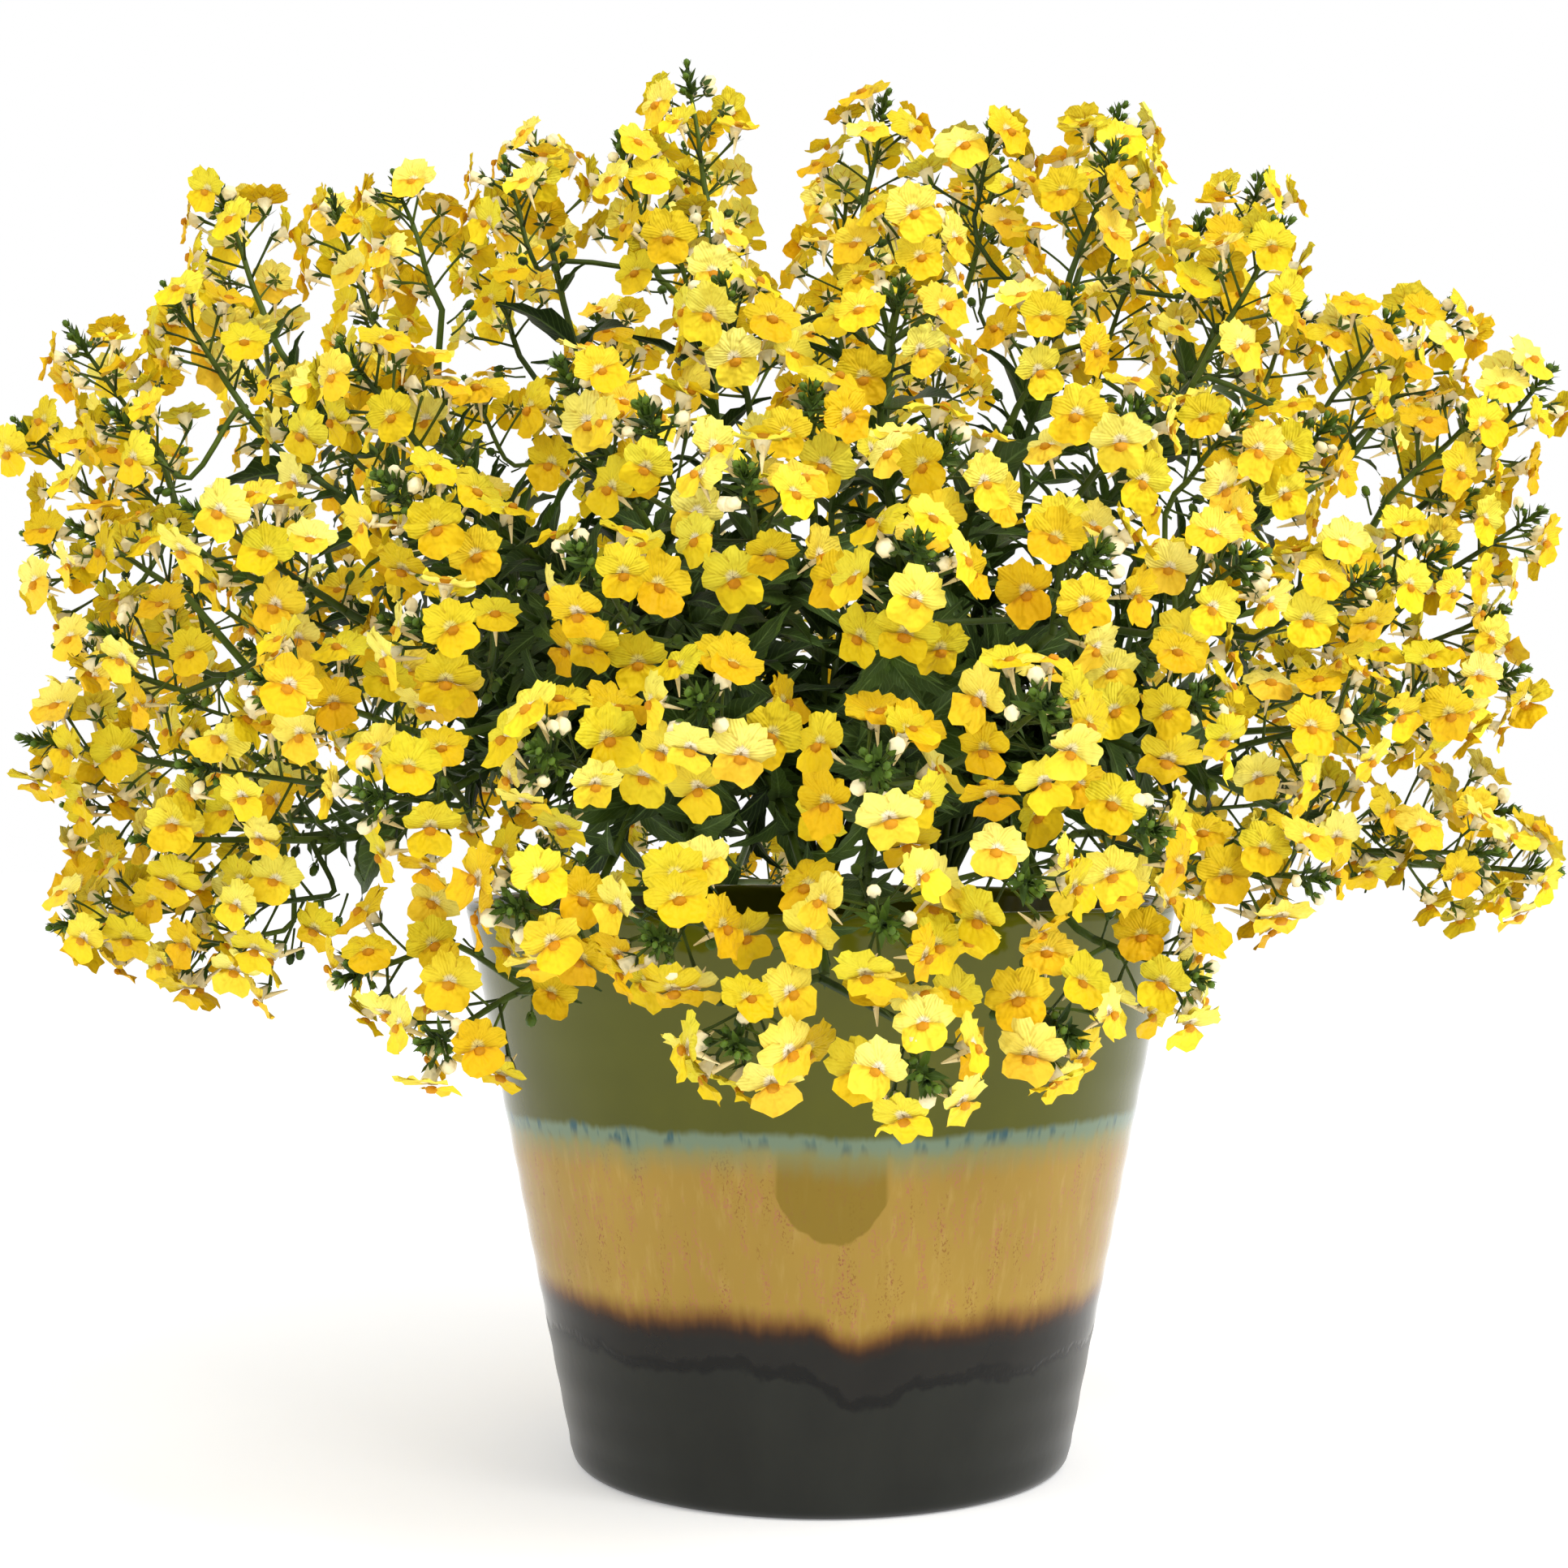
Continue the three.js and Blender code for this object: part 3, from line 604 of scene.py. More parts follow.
def set_down(bm, shape, matrix, tint, shade):
    """Adds a copy of a small shape, with its flower's or plant's two numbers."""
    before = len(bm.verts)
    bm.from_mesh(shape)
    bm.verts.ensure_lookup_table()
    mark = bm.verts.layers.float_color["mark"]
    for vert in bm.verts[before:]:
        vert.co = matrix @ vert.co
        kind, _, _, lobe = vert[mark]
        vert[mark] = (kind, tint, shade, lobe)


def frame_along(spot, way, hint, scale=1.0):
    """A frame at a spot whose Z points along way and whose X lies square to hint."""
    across = hint.cross(way)
    if across.length < 0.05:
        across = Vector((1, 0.2, 0)).cross(way)
    across.normalize()
    turn = Matrix((across, way.cross(across), way)).transposed().to_4x4()
    return Matrix.Translation(spot) @ turn @ Matrix.Scale(scale, 4)


FLOWER_SHAPES = [
    flower_shape("open_flower", 1, 1.0, -0.4, 1.3),
    flower_shape("flat_flower", 2, 1.06, 0.2, 0.6),
    flower_shape("cupped_flower", 3, 0.94, 1.6, 2.6),
    flower_shape("reflexed_flower", 4, 1.0, -2.2, 0.4),
    flower_shape("nodding_flower", 5, 0.9, 0.6, 3.6),
]
BRACT_SHAPES = [bract_shape("long_bract", 6.4, 1.0, -0.7),
                bract_shape("short_bract", 4.8, 0.85, 1.0)]
CREAM_BUD = bud_shape("cream_bud", CREAM, PETAL_SLOT, 2.3, 4.8, 0.62)
GREEN_BUD = bud_shape("green_bud", BRACT, GREEN_SLOT, 1.1, 2.6, 1.1)
CAPSULE = bud_shape("seed_capsule", BRACT, GREEN_SLOT, 1.7, 4.2, 0.55)
LEAF_SHAPES = [leaf_shape("toothed_leaf", 1, 3), leaf_shape("narrow_leaf", 4, 3)]


def bowed_path(start, end, sag, parts):
    return [start.lerp(end, i / parts) + UP * (sag * math.sin(math.pi * i / parts))
            for i in range(parts + 1)]


def add_tuft(bm, spot, axis, seed, size, tint):
    """The spiky green tip of a spike: bracts round small green buds."""
    for i in range(TUFT_BRACTS):
        share = i / (TUFT_BRACTS - 1)
        tilt = between(74, 12, share) + 14 * (drawn(seed, i, 21) - 0.5)
        out = turned(axis.cross(TWIST_FROM).normalized(), axis, SPIKE_TWIST * i)
        way = out * math.sin(math.radians(tilt)) + axis * math.cos(math.radians(tilt))
        across = way.cross(axis).normalized()
        turn = Matrix((across, way, across.cross(way))).transposed().to_4x4()
        foot = spot + axis * (between(-3.5, 4.5, share) * size)
        scaled = Matrix.Scale(size * between(1.05, 0.8, share), 4)
        set_down(bm, BRACT_SHAPES[i % 2], Matrix.Translation(foot) @ turn @ scaled, tint,
                 drawn(seed, i, 22))
        if i % 4 == 1:
            bud = frame_along(foot + way * (3.2 * size), way, axis, size * 0.95)
            set_down(bm, GREEN_BUD, bud, tint, 0.9)


def add_hung_bud(bm, shape, spike, share, turn, length, tilt, seed, scale):
    """A bud or capsule on a thin stalk of its own."""
    axis = spike["axis"]
    out = turned(axis.cross(TWIST_FROM).normalized(), axis, turn)
    way = out * math.sin(math.radians(tilt)) + axis * math.cos(math.radians(tilt))
    root = spike["base"].lerp(spike["tip"], share)
    end = root + way * length
    if not outside_pot(end, 5):
        return
    lay_tube(bm, bowed_path(root, end, -0.4, 2), (0.42, 0.36, 0.4), 4, STEM, GREEN_SLOT, 0.5, 0.5)
    set_down(bm, shape, frame_along(end, way, axis, scale), drawn(seed, 1, 31), drawn(seed, 2, 31))


def make_spray(spray, flowers):
    """One branch: its stalks, flowers, buds and green tips."""
    bm = start_shape()
    first = spray["spikes"][0]
    for spike in spray["spikes"]:
        seed = spike["seed"]
        begin = spray["root"].copy()
        if spike is not first:
            begin += (first["base"] - begin).normalized() * STALK_FORK
        end = spike["base"].lerp(spike["tip"], 0.96)
        wander = Vector((drawn(seed, 1, 11) - 0.5, drawn(seed, 2, 11) - 0.5, 0)) * 1.6
        apart = (spike["base"] - begin).length
        if spike["count"]:
            path = [begin, begin.lerp(spike["base"], 0.55) + wander * 0.4]
        else:
            bend = (begin, begin + spray["heading"] * (apart * 0.2),
                    spike["base"] - spike["axis"] * (apart * 0.3), spike["base"])
            path = [on_curve(bend, i / 6) for i in range(6)]
        path += [spike["base"].lerp(end, i / 5) + wander * math.sin(i * 1.3) for i in range(5)]
        path.append(end)
        thick = STALK_RADIUS - (0.1 if spike["count"] else 0.45)
        last = len(path) - 1
        radii = [between(thick, STALK_TIP_RADIUS - 0.1, i / last) for i in range(last + 1)]
        lay_tube(bm, path, radii, 6, STEM, GREEN_SLOT, drawn(seed, 3, 11), 0.5)
        add_tuft(bm, spike["tip"], spike["axis"], seed, 1.0 + 0.3 * drawn(seed, 4, 11),
                 drawn(seed, 5, 11))
        for i in range(2 + (drawn(seed, 6, 11) > 0.5)):
            add_hung_bud(bm, CREAM_BUD, spike, 0.9 + 0.04 * i, 140 * i + 360 * drawn(seed, i, 12),
                         5 + 3 * drawn(seed, i, 13), 62, seed + i, 0.8 + 0.45 * drawn(seed, i, 14))
        for i in range(2):
            add_hung_bud(bm, CAPSULE, spike, -0.12 - 0.1 * i, 150 * i + 360 * drawn(seed, i, 15),
                         8, 70, seed + i, 1.0)
    for place in flowers:
        seed, k = place["seed"], place["k"]
        shape = FLOWER_SHAPES[int(5 * drawn(seed, k, 41)) % 5]
        tint, shade = drawn(seed, k, 42), drawn(seed, k, 43)
        set_down(bm, shape, flower_matrix(place), tint, shade)
        sag = 1.2 * (drawn(seed, k, 44) - 0.3)
        neck = place["middle"] - place["face"] * (5.3 * place["size"])
        lay_tube(bm, bowed_path(place["root"], neck, sag, 3), (0.55, 0.45, 0.45, 0.7), 4,
                 STEM, GREEN_SLOT, tint, 0.6)
    return bm


# Leaves and stems
def leaf_frames(handles, shares):
    across = Vector((1, 0, 0))
    frames = []
    for share in shares:
        axis = curve_way(handles, share)
        across = (across - axis * across.dot(axis)).normalized()
        frames.append((on_curve(handles, share), axis, across))
    return frames


def leaf_place(number, frame_here, pair, sign, turn, size):
    middle, axis, side = frame_here
    out = turned(axis.cross(side) * sign, axis, turn)
    way = (out * 0.85 + axis * 0.45).normalized()
    across = way.cross(axis).normalized()
    top = across.cross(way)
    points = [middle + way * (far * LEAF_LENGTH * size) for far in (0.25, 0.55, 0.85)]
    return {"at": middle, "way": way, "across": across, "top": top, "size": size,
            "points": points, "pair": pair, "sign": sign, "number": number}


def leaf_matrix(leaf):
    turn = Matrix((leaf["across"], leaf["way"], leaf["top"])).transposed().to_4x4()
    size = leaf["size"]
    long = Matrix.Diagonal((LEAF_WIDTH * size, LEAF_LENGTH * size, LEAF_LENGTH * size * 0.6, 1))
    return Matrix.Translation(leaf["at"]) @ turn @ long


class Neighbours:
    """Points kept by the small cube that they lie in, to find what is near a place."""

    def __init__(self, cell):
        self.cell = cell
        self.cubes = {}

    def key(self, point):
        return tuple(int(math.floor(value / self.cell)) for value in point)

    def add(self, point):
        self.cubes.setdefault(self.key(point), []).append(point)

    def free(self, point, least):
        a, b, c = self.key(point)
        for i in (-1, 0, 1):
            for j in (-1, 0, 1):
                for k in (-1, 0, 1):
                    for other in self.cubes.get((a + i, b + j, c + k), ()):
                        if (other - point).length < least:
                            return False
        return True


def place_leaves(sprays, flowers):
    """Pairs of leaves up every stem, wherever they keep off the flowers, the pot and each other."""
    tree = kdtree.KDTree(len(flowers))
    for i, place in enumerate(flowers):
        tree.insert(place["middle"], i)
    tree.balance()
    near = Neighbours(7)
    placed = []

    def fits(leaf, apart, flower_gap):
        for point in leaf["points"]:
            within = math.hypot(point.x, point.y) < pot_radius(SOIL_TOP) - 15
            over_soil = within and point.z > SOIL_TOP + 6
            if not (over_soil or outside_pot(point, LEAF_OFF_POT)):
                return False
            if tree.find(point)[2] < flower_gap or not near.free(point, apart):
                return False
        return True

    def keep(pair):
        placed.extend(pair)
        for leaf in pair:
            for point in leaf["points"]:
                near.add(point)

    for spray in sprays:
        number = spray["number"]
        for pair, frame_here in enumerate(leaf_frames(stem_handles(spray), LEAF_PLACES)):
            if drawn(number, pair, 7) > LEAF_SHARE:
                continue
            size = 0.85 + 0.4 * drawn(number, pair, 6)
            two = [leaf_place(number, frame_here, pair, sign, LEAF_TURN, size) for sign in (-1, 1)]
            if all(fits(leaf, LEAF_APART, LEAF_OFF_BLOOM) for leaf in two):
                keep(two)
    for spray in sprays:
        number = spray["number"]
        shares = [0.16 + 0.042 * i for i in range(FINE_LEAVES)]
        for pair, frame_here in enumerate(leaf_frames(stem_handles(spray), shares), 10):
            if drawn(number, pair, 9) < 1.5 * (shares[pair - 10] - 0.55):
                continue
            size = between(1.3, 0.4, shares[pair - 10]) * between(0.7, 1.15, drawn(number, pair, 6))
            turn = LEAF_TURN + 90 * (pair % 2) + 40 * (drawn(number, pair, 8) - 0.5)
            for sign in (-1, 1):
                leaf = leaf_place(number, frame_here, pair, sign, turn, size)
                if fits(leaf, FINE_LEAF_APART, FINE_LEAF_OFF_BLOOM):
                    keep([leaf])
    return placed


def make_plant(plant, sprays, leaves):
    """One rooted plant: its crown, stems and leaves."""
    bm = start_shape()
    foot = crown_foot(plant, SOIL_TOP - CROWN_DEPTH)
    crown = [foot + UP * z for z, _ in CROWN_RINGS]
    lay_tube(bm, crown, [radius for _, radius in CROWN_RINGS], 10, STEM, 0, 0.1, 0.2)
    numbers = set()
    for spray in sprays:
        if spray["plant"] is not plant:
            continue
        numbers.add(spray["number"])
        handles = stem_handles(spray)
        path = [on_curve(handles, i / 16) for i in range(17)]
        radii = [between(STEM_RADIUS + 0.1, STEM_RADIUS - 0.1, i / 16) for i in range(17)]
        lay_tube(bm, path, radii, 6, STEM, 0, drawn(spray["number"], 1, 51), 0.4)
    for leaf in leaves:
        if leaf["number"] in numbers:
            shape = LEAF_SHAPES[leaf["pair"] % 2]
            set_down(bm, shape, leaf_matrix(leaf), drawn(leaf["number"], leaf["pair"], 52),
                     drawn(leaf["number"], leaf["pair"], 53 + leaf["sign"]))
    for face in bm.faces:
        face.material_index = 0
    return bm


# Pot and soil
def spun(profile, steps):
    """A shape turned on the wheel: a line of points spun once round the Z axis."""
    bm = bmesh.new()
    verts = [bm.verts.new((radius, 0, z)) for radius, z in profile]
    edges = [bm.edges.new(pair) for pair in zip(verts, verts[1:])]
    bmesh.ops.spin(bm, geom=verts + edges, axis=(0, 0, 1), cent=(0, 0, 0), steps=steps,
                   angle=math.tau, use_merge=True)
    bmesh.ops.remove_doubles(bm, verts=bm.verts[:], dist=0.001)
    bmesh.ops.recalc_face_normals(bm, faces=bm.faces[:])
    for face in bm.faces:
        face.smooth = True
    return bm


def arc(middle_r, middle_z, radius, start, end, parts):
    points = []
    for i in range(parts + 1):
        turn = math.radians(between(start, end, i / parts))
        points.append((middle_r + radius * math.cos(turn), middle_z + radius * math.sin(turn)))
    return points


def pot_profile():
    foot = pot_radius(0)
    lean = math.degrees(math.atan(FLARE))
    line = [(0, 0.6), (foot - 14, 0.6), (foot - 12, 0)]
    line += arc(foot - 4.4, 5, 5, -90, -lean, 6)
    top = POT_HEIGHT - 3.6
    low = line[-1][1] + 3
    rows = 60
    for i in range(rows + 1):
        z = between(low, top - 0.6, i / rows)
        line.append((pot_radius(z), z))
    line += arc(pot_radius(top) - 3.5, top, 3.5, 0, 180, 10)[1:]
    line += [(pot_radius(z) - WALL, z) for z in (top - 8, 160, 120, 80, 40, POT_FLOOR + 5)]
    line += [(pot_radius(POT_FLOOR) - WALL - 4, POT_FLOOR), (0, POT_FLOOR)]
    return line


def make_pot():
    bm = spun(pot_profile(), 128)
    for vert in bm.verts:
        wide = math.hypot(vert.co.x, vert.co.y)
        if wide > pot_radius(vert.co.z) - 1 and 8 < vert.co.z < POT_HEIGHT - 6:
            ring = 0.12 * math.sin(vert.co.z * 0.42) + 0.2 * (noise.noise(vert.co * 0.03) - 0.6)
            vert.co.x *= 1 + ring / wide
            vert.co.y *= 1 + ring / wide
    return bm


def make_soil():
    edge = pot_radius(SOIL_EDGE) - WALL - GAP
    low = POT_FLOOR + GAP
    line = [(0, low), (pot_radius(POT_FLOOR) - WALL - 4 - GAP, low),
            (pot_radius(POT_FLOOR + 5) - WALL - GAP, POT_FLOOR + 5 + GAP)]
    line += [(edge - 0.2, SOIL_EDGE - 0.4)]
    rings, rising = 40, 12
    line += [(edge * (1 - i / rings), between(SOIL_EDGE, SOIL_TOP, min(1, i / rising)))
             for i in range(1, rings + 1)]
    bm = spun(line, 72)
    for vert in bm.verts:
        if vert.co.z > SOIL_EDGE - 2 and math.hypot(vert.co.x, vert.co.y) < edge - 2:
            lumps, crumbs = noise.noise(vert.co * 0.13), noise.noise(vert.co * 0.4)
            vert.co.z += 1.6 * lumps + 1.1 * crumbs - 0.8
    return bm


def finish_piece(bm, name, materials, nodes):
    """Turns a shape to metres and gives it its materials; hides the solids that it stands for."""
    mesh = bpy.data.meshes.new(name)
    bm.to_mesh(mesh)
    bm.free()
    mesh.transform(Matrix.Scale(METRE, 4))
    for material in materials:
        mesh.materials.append(material)
    piece = bpy.data.objects.new(name, mesh)
    bpy.context.scene.collection.objects.link(piece)
    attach(piece, "root")
    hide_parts(*nodes)
    return piece


# Materials
def linear(hex_colour):
    """An sRGB hex colour as the linear numbers that shaders take."""
    parts = [int(hex_colour[i:i + 2], 16) / 255 for i in (1, 3, 5)]
    return [c / 12.92 if c <= 0.04045 else ((c + 0.055) / 1.055) ** 2.4 for c in parts] + [1]


def feed(node, *sources, **settings):
    """Fills a node's inputs: sources go to those in use, in their order, and settings by name.
    Each is a value, a hex colour, an output, or a node, which means its first output in use."""
    in_use = [socket for socket in node.inputs if socket.enabled]
    named = [(node.inputs[name.replace("_", " ")], value) for name, value in settings.items()]
    for socket, value in [*zip(in_use, sources), *named]:
        if isinstance(value, bpy.types.Node):
            value = next(output for output in value.outputs if output.enabled)
        if isinstance(value, bpy.types.NodeSocket):
            socket.id_data.links.new(value, socket)
        else:
            socket.default_value = linear(value) if isinstance(value, str) else value


# Mixes are of colours, and ranges are stretched smoothly
USUAL_OPTIONS = {"Mix": {"data_type": "RGBA"}, "MapRange": {"interpolation_type": "SMOOTHSTEP"}}


def add_node(owner, kind, *sources, **settings):
    """Adds a node to a material or world, with its options, its values and its links."""
    node = owner.node_tree.nodes.new("ShaderNode" + kind)
    settings = {**USUAL_OPTIONS.get(kind, {}), **settings}
    for name in [name for name in settings if hasattr(node, name)]:
        setattr(node, name, settings.pop(name))
    feed(node, *sources, **settings)
    return node


def new_material(name):
    material = bpy.data.materials.new(name)
    material.use_nodes = True
    return material, material.node_tree.nodes["Principled BSDF"]


def marks_of(m):
    """A shape's mark, which is its kind, its flower's or plant's two numbers and its lobe's own,
    and then how far across and along the shape a spot lies."""
    mark = add_node(m, "Attribute", attribute_name="mark")
    kind, tint, shade = add_node(m, "SeparateColor", mark).outputs
    across, along, _ = add_node(m, "SeparateXYZ", add_node(m, "UVMap", uv_map="surface")).outputs
    return kind, tint, shade, mark.outputs["Alpha"], across, along


def petal_material():
    """Fresh nemesia petals: matt and soft, lemon to golden yellow, with fine veins."""
    m, shader = new_material("fresh nemesia petals, grown")
    kind, tint, shade, lobe, across, along = marks_of(m)
    place = add_node(m, "TexCoord").outputs["Object"]
    is_lower, is_palate, is_cream = [add_node(m, "MapRange", kind, low, low + 0.02)
                                     for low in (0.14, 0.44, 0.79)]
    is_upper = add_node(m, "Math", 1.0, is_lower, operation="SUBTRACT")
    golden = add_node(m, "Math", tint, 1.5, operation="POWER")
    golden = add_node(m, "Math", lobe, 0.2, golden, operation="MULTIPLY_ADD")
    upper = add_node(m, "Mix", golden, "#F3EA4A", "#F2CC1E")
    lower = add_node(m, "Mix", golden, "#FAE124", "#F8C616")
    petal = add_node(m, "Mix", is_lower, upper, lower)
    faded = add_node(m, "Math", add_node(m, "MapRange", shade, 0.62, 1.0),
                     add_node(m, "MapRange", kind, 0.14, 0.16, 0.85, 0.15), operation="MULTIPLY")
    petal = add_node(m, "Mix", faded, petal, "#F9F080")
    # Veins fan out from the throat: one each millimetre across a lobe, as coarse as they need to
    # show, and strongest near the throat
    soft_noise = add_node(m, "TexNoise", place, Scale=260.0, Detail=1.0)
    stray = add_node(m, "Math", soft_noise, 4.0, operation="MULTIPLY")
    wave = add_node(m, "Math", across, 46.0, stray, operation="MULTIPLY_ADD")
    wave = add_node(m, "Math", wave, operation="SINE")
    ripple = add_node(m, "Math", wave, 0.5, 0.5, operation="MULTIPLY_ADD")
    veined = add_node(m, "Math", ripple, add_node(m, "MapRange", along, 0.1, 0.7, 0.14, 0.02),
                      operation="MULTIPLY")
    petal = add_node(m, "Mix", veined, petal, "#E0B830", blend_type="MULTIPLY")
    # White throat with a few dark lines above the palate, on the upper lip alone
    throat = add_node(m, "Math", add_node(m, "MapRange", along, 0.24, 0.1, 0.0, 0.7), is_upper,
                      operation="MULTIPLY")
    petal = add_node(m, "Mix", throat, petal, "#FFFBEF")
    lines = add_node(m, "Math", across, 31.4, 0.8, operation="MULTIPLY_ADD")
    lines = add_node(m, "MapRange", add_node(m, "Math", lines, operation="SINE"), 0.8, 0.98)
    dark = add_node(m, "Math", lines, add_node(m, "MapRange", along, 0.38, 0.18, 0.0, 0.55),
                    operation="MULTIPLY")
    dark = add_node(m, "Math", dark, is_upper, operation="MULTIPLY")
    petal = add_node(m, "Mix", dark, petal, "#5B2C1C")
    # The lower lip deepens to orange where it meets the palate
    warm = add_node(m, "Math", add_node(m, "MapRange", along, 0.42, 0.12, 0.0, 0.4), is_lower,
                    operation="MULTIPLY")
    petal = add_node(m, "Mix", warm, petal, "#F8AC10")
    petal = add_node(m, "Mix", is_palate, petal,
                     add_node(m, "Mix", soft_noise, "#FBB31A", "#FCCB42"))
    # Some patches are greener in colour. Some whole flowers are darker and greener: painted shade,
    # for flowers that lie in shadow. Lobes darken at their sides: painted shade where they overlap.
    broad = add_node(m, "TexNoise", place, Scale=90.0, Detail=0.0)
    patchy = add_node(m, "MapRange", broad, 0.35, 0.75, 0.0, 0.4)
    petal = add_node(m, "Mix", patchy, petal, "#E6D95A", blend_type="MULTIPLY")
    # Painted shade: whole flowers darkened and greened by their own number, for flowers in shadow
    painted_flower_shade = add_node(m, "MapRange", shade, 0.25, 0.75, 0.75, 0.0)
    petal = add_node(m, "Mix", painted_flower_shade, petal, "#DCD66A", blend_type="MULTIPLY")
    # Painted shade where lobes overlap: their sides towards the throat are darkened
    side = add_node(m, "Math", across, 0.5, operation="SUBTRACT")
    side = add_node(m, "MapRange", add_node(m, "Math", side, operation="ABSOLUTE"), 0.36, 0.5)
    painted_overlap_shade = add_node(m, "Math", side, add_node(m, "MapRange", along, 0.75, 0.4, 0.0, 0.7),
                       operation="MULTIPLY")
    petal = add_node(m, "Mix", painted_overlap_shade, petal, "#BE9C40", blend_type="MULTIPLY")
    petal = add_node(m, "Mix", is_cream, petal, add_node(m, "Mix", lobe, "#F4DFA2", "#F6F0CC"))
    crease = add_node(m, "TexNoise", place, Scale=330.0, Detail=1.0)
    relief = add_node(m, "Math", ripple, 0.07, crease, operation="MULTIPLY_ADD")
    # Painted glow, for light through the thin petals: most at the open top and back of the mound
    _, back, high = add_node(m, "SeparateXYZ", place).outputs
    lit = add_node(m, "Math", add_node(m, "MapRange", back, -0.08, 0.08),
                   add_node(m, "MapRange", high, 0.2, 0.38), operation="MULTIPLY")
    lit = add_node(m, "Math", lit, 0.7, 0.3, operation="MULTIPLY_ADD")
    # The emission colour is that painted glow of the petals
    feed(shader, Base_Color=petal, Roughness=0.6, Specular_IOR_Level=0.15,
         Normal=add_node(m, "Bump", Height=relief, Strength=0.8, Distance=0.0022),
         Emission_Color=add_node(m, "Mix", lit, "#000000", petal), Emission_Strength=0.24)
    return m


def green_material():
    """Living stems and leaves: dark green, a little waxy, with pale veins and fine down."""
    m, shader = new_material("nemesia leaf and stem, grown")
    kind, tint, shade, _, across, along = marks_of(m)
    place = add_node(m, "TexCoord").outputs["Object"]
    is_leaf, is_bract = [add_node(m, "MapRange", kind, low, low + 0.02) for low in (0.24, 0.74)]
    stem = add_node(m, "Mix", tint, "#2E4208", "#546816")
    leaf = add_node(m, "Mix", tint, "#1B2F06", "#38500F")
    pale = add_node(m, "Math", shade, 0.45, operation="MULTIPLY")
    leaf = add_node(m, "Mix", pale, leaf, "#5C7828")
    bract = add_node(m, "Mix", shade, "#2A410A", "#5C781E")
    # Midrib and side veins of a leaf 11 mm wide: side veins each 3 mm
    off_middle = add_node(m, "Math", across, 0.5, operation="SUBTRACT")
    off_middle = add_node(m, "Math", off_middle, operation="ABSOLUTE")
    slant = add_node(m, "Math", along, 12.0, operation="MULTIPLY")
    slant = add_node(m, "Math", off_middle, -5.0, slant, operation="MULTIPLY_ADD")
    slant = add_node(m, "Math", slant, math.tau, operation="MULTIPLY")
    side = add_node(m, "MapRange", add_node(m, "Math", slant, operation="SINE"), 0.8, 1.0, 0.0, 0.4)
    vein = add_node(m, "Math", add_node(m, "MapRange", off_middle, 0.06, 0.015), side,
                    operation="MAXIMUM")
    leaf = add_node(m, "Mix", add_node(m, "Math", vein, 0.6, operation="MULTIPLY"), leaf, "#7F9C55")
    colour = add_node(m, "Mix", is_leaf, stem, leaf)
    colour = add_node(m, "Mix", is_bract, colour, bract)
    patchy = add_node(m, "TexNoise", place, Scale=150.0, Detail=1.0)
    patchy = add_node(m, "MapRange", patchy, 0.3, 0.7, 0.0, 0.5)
    colour = add_node(m, "Mix", patchy, colour, "#8FA860", blend_type="MULTIPLY")
    fine = add_node(m, "TexNoise", place, Scale=900.0, Detail=0.0)
    height = add_node(m, "Math", vein, -0.8, fine, operation="MULTIPLY_ADD")
    feed(shader, Base_Color=colour, Roughness=0.5, Specular_IOR_Level=0.25, Sheen_Weight=0.03,
         Normal=add_node(m, "Bump", Height=height, Strength=0.4, Distance=0.0003))
    return m


# Heights in metres of the lower edges of the pot's bands and of the painted reflection, and the
# places round the pot, by x and y, where the glaze has run and where the painted reflection sits
OLIVE_EDGE, BLUE_EDGE, OCHRE_EDGE, BROWN_EDGE, REFLECTION_PATCH_EDGE = 0.1245, 0.1205, 0.0580, 0.0500, 0.1180
FRONT_RUN, LEFT_RUN, REFLECTION_PATCH = (0.011, -0.098), (-0.060, -0.090), (0.002, -0.104)


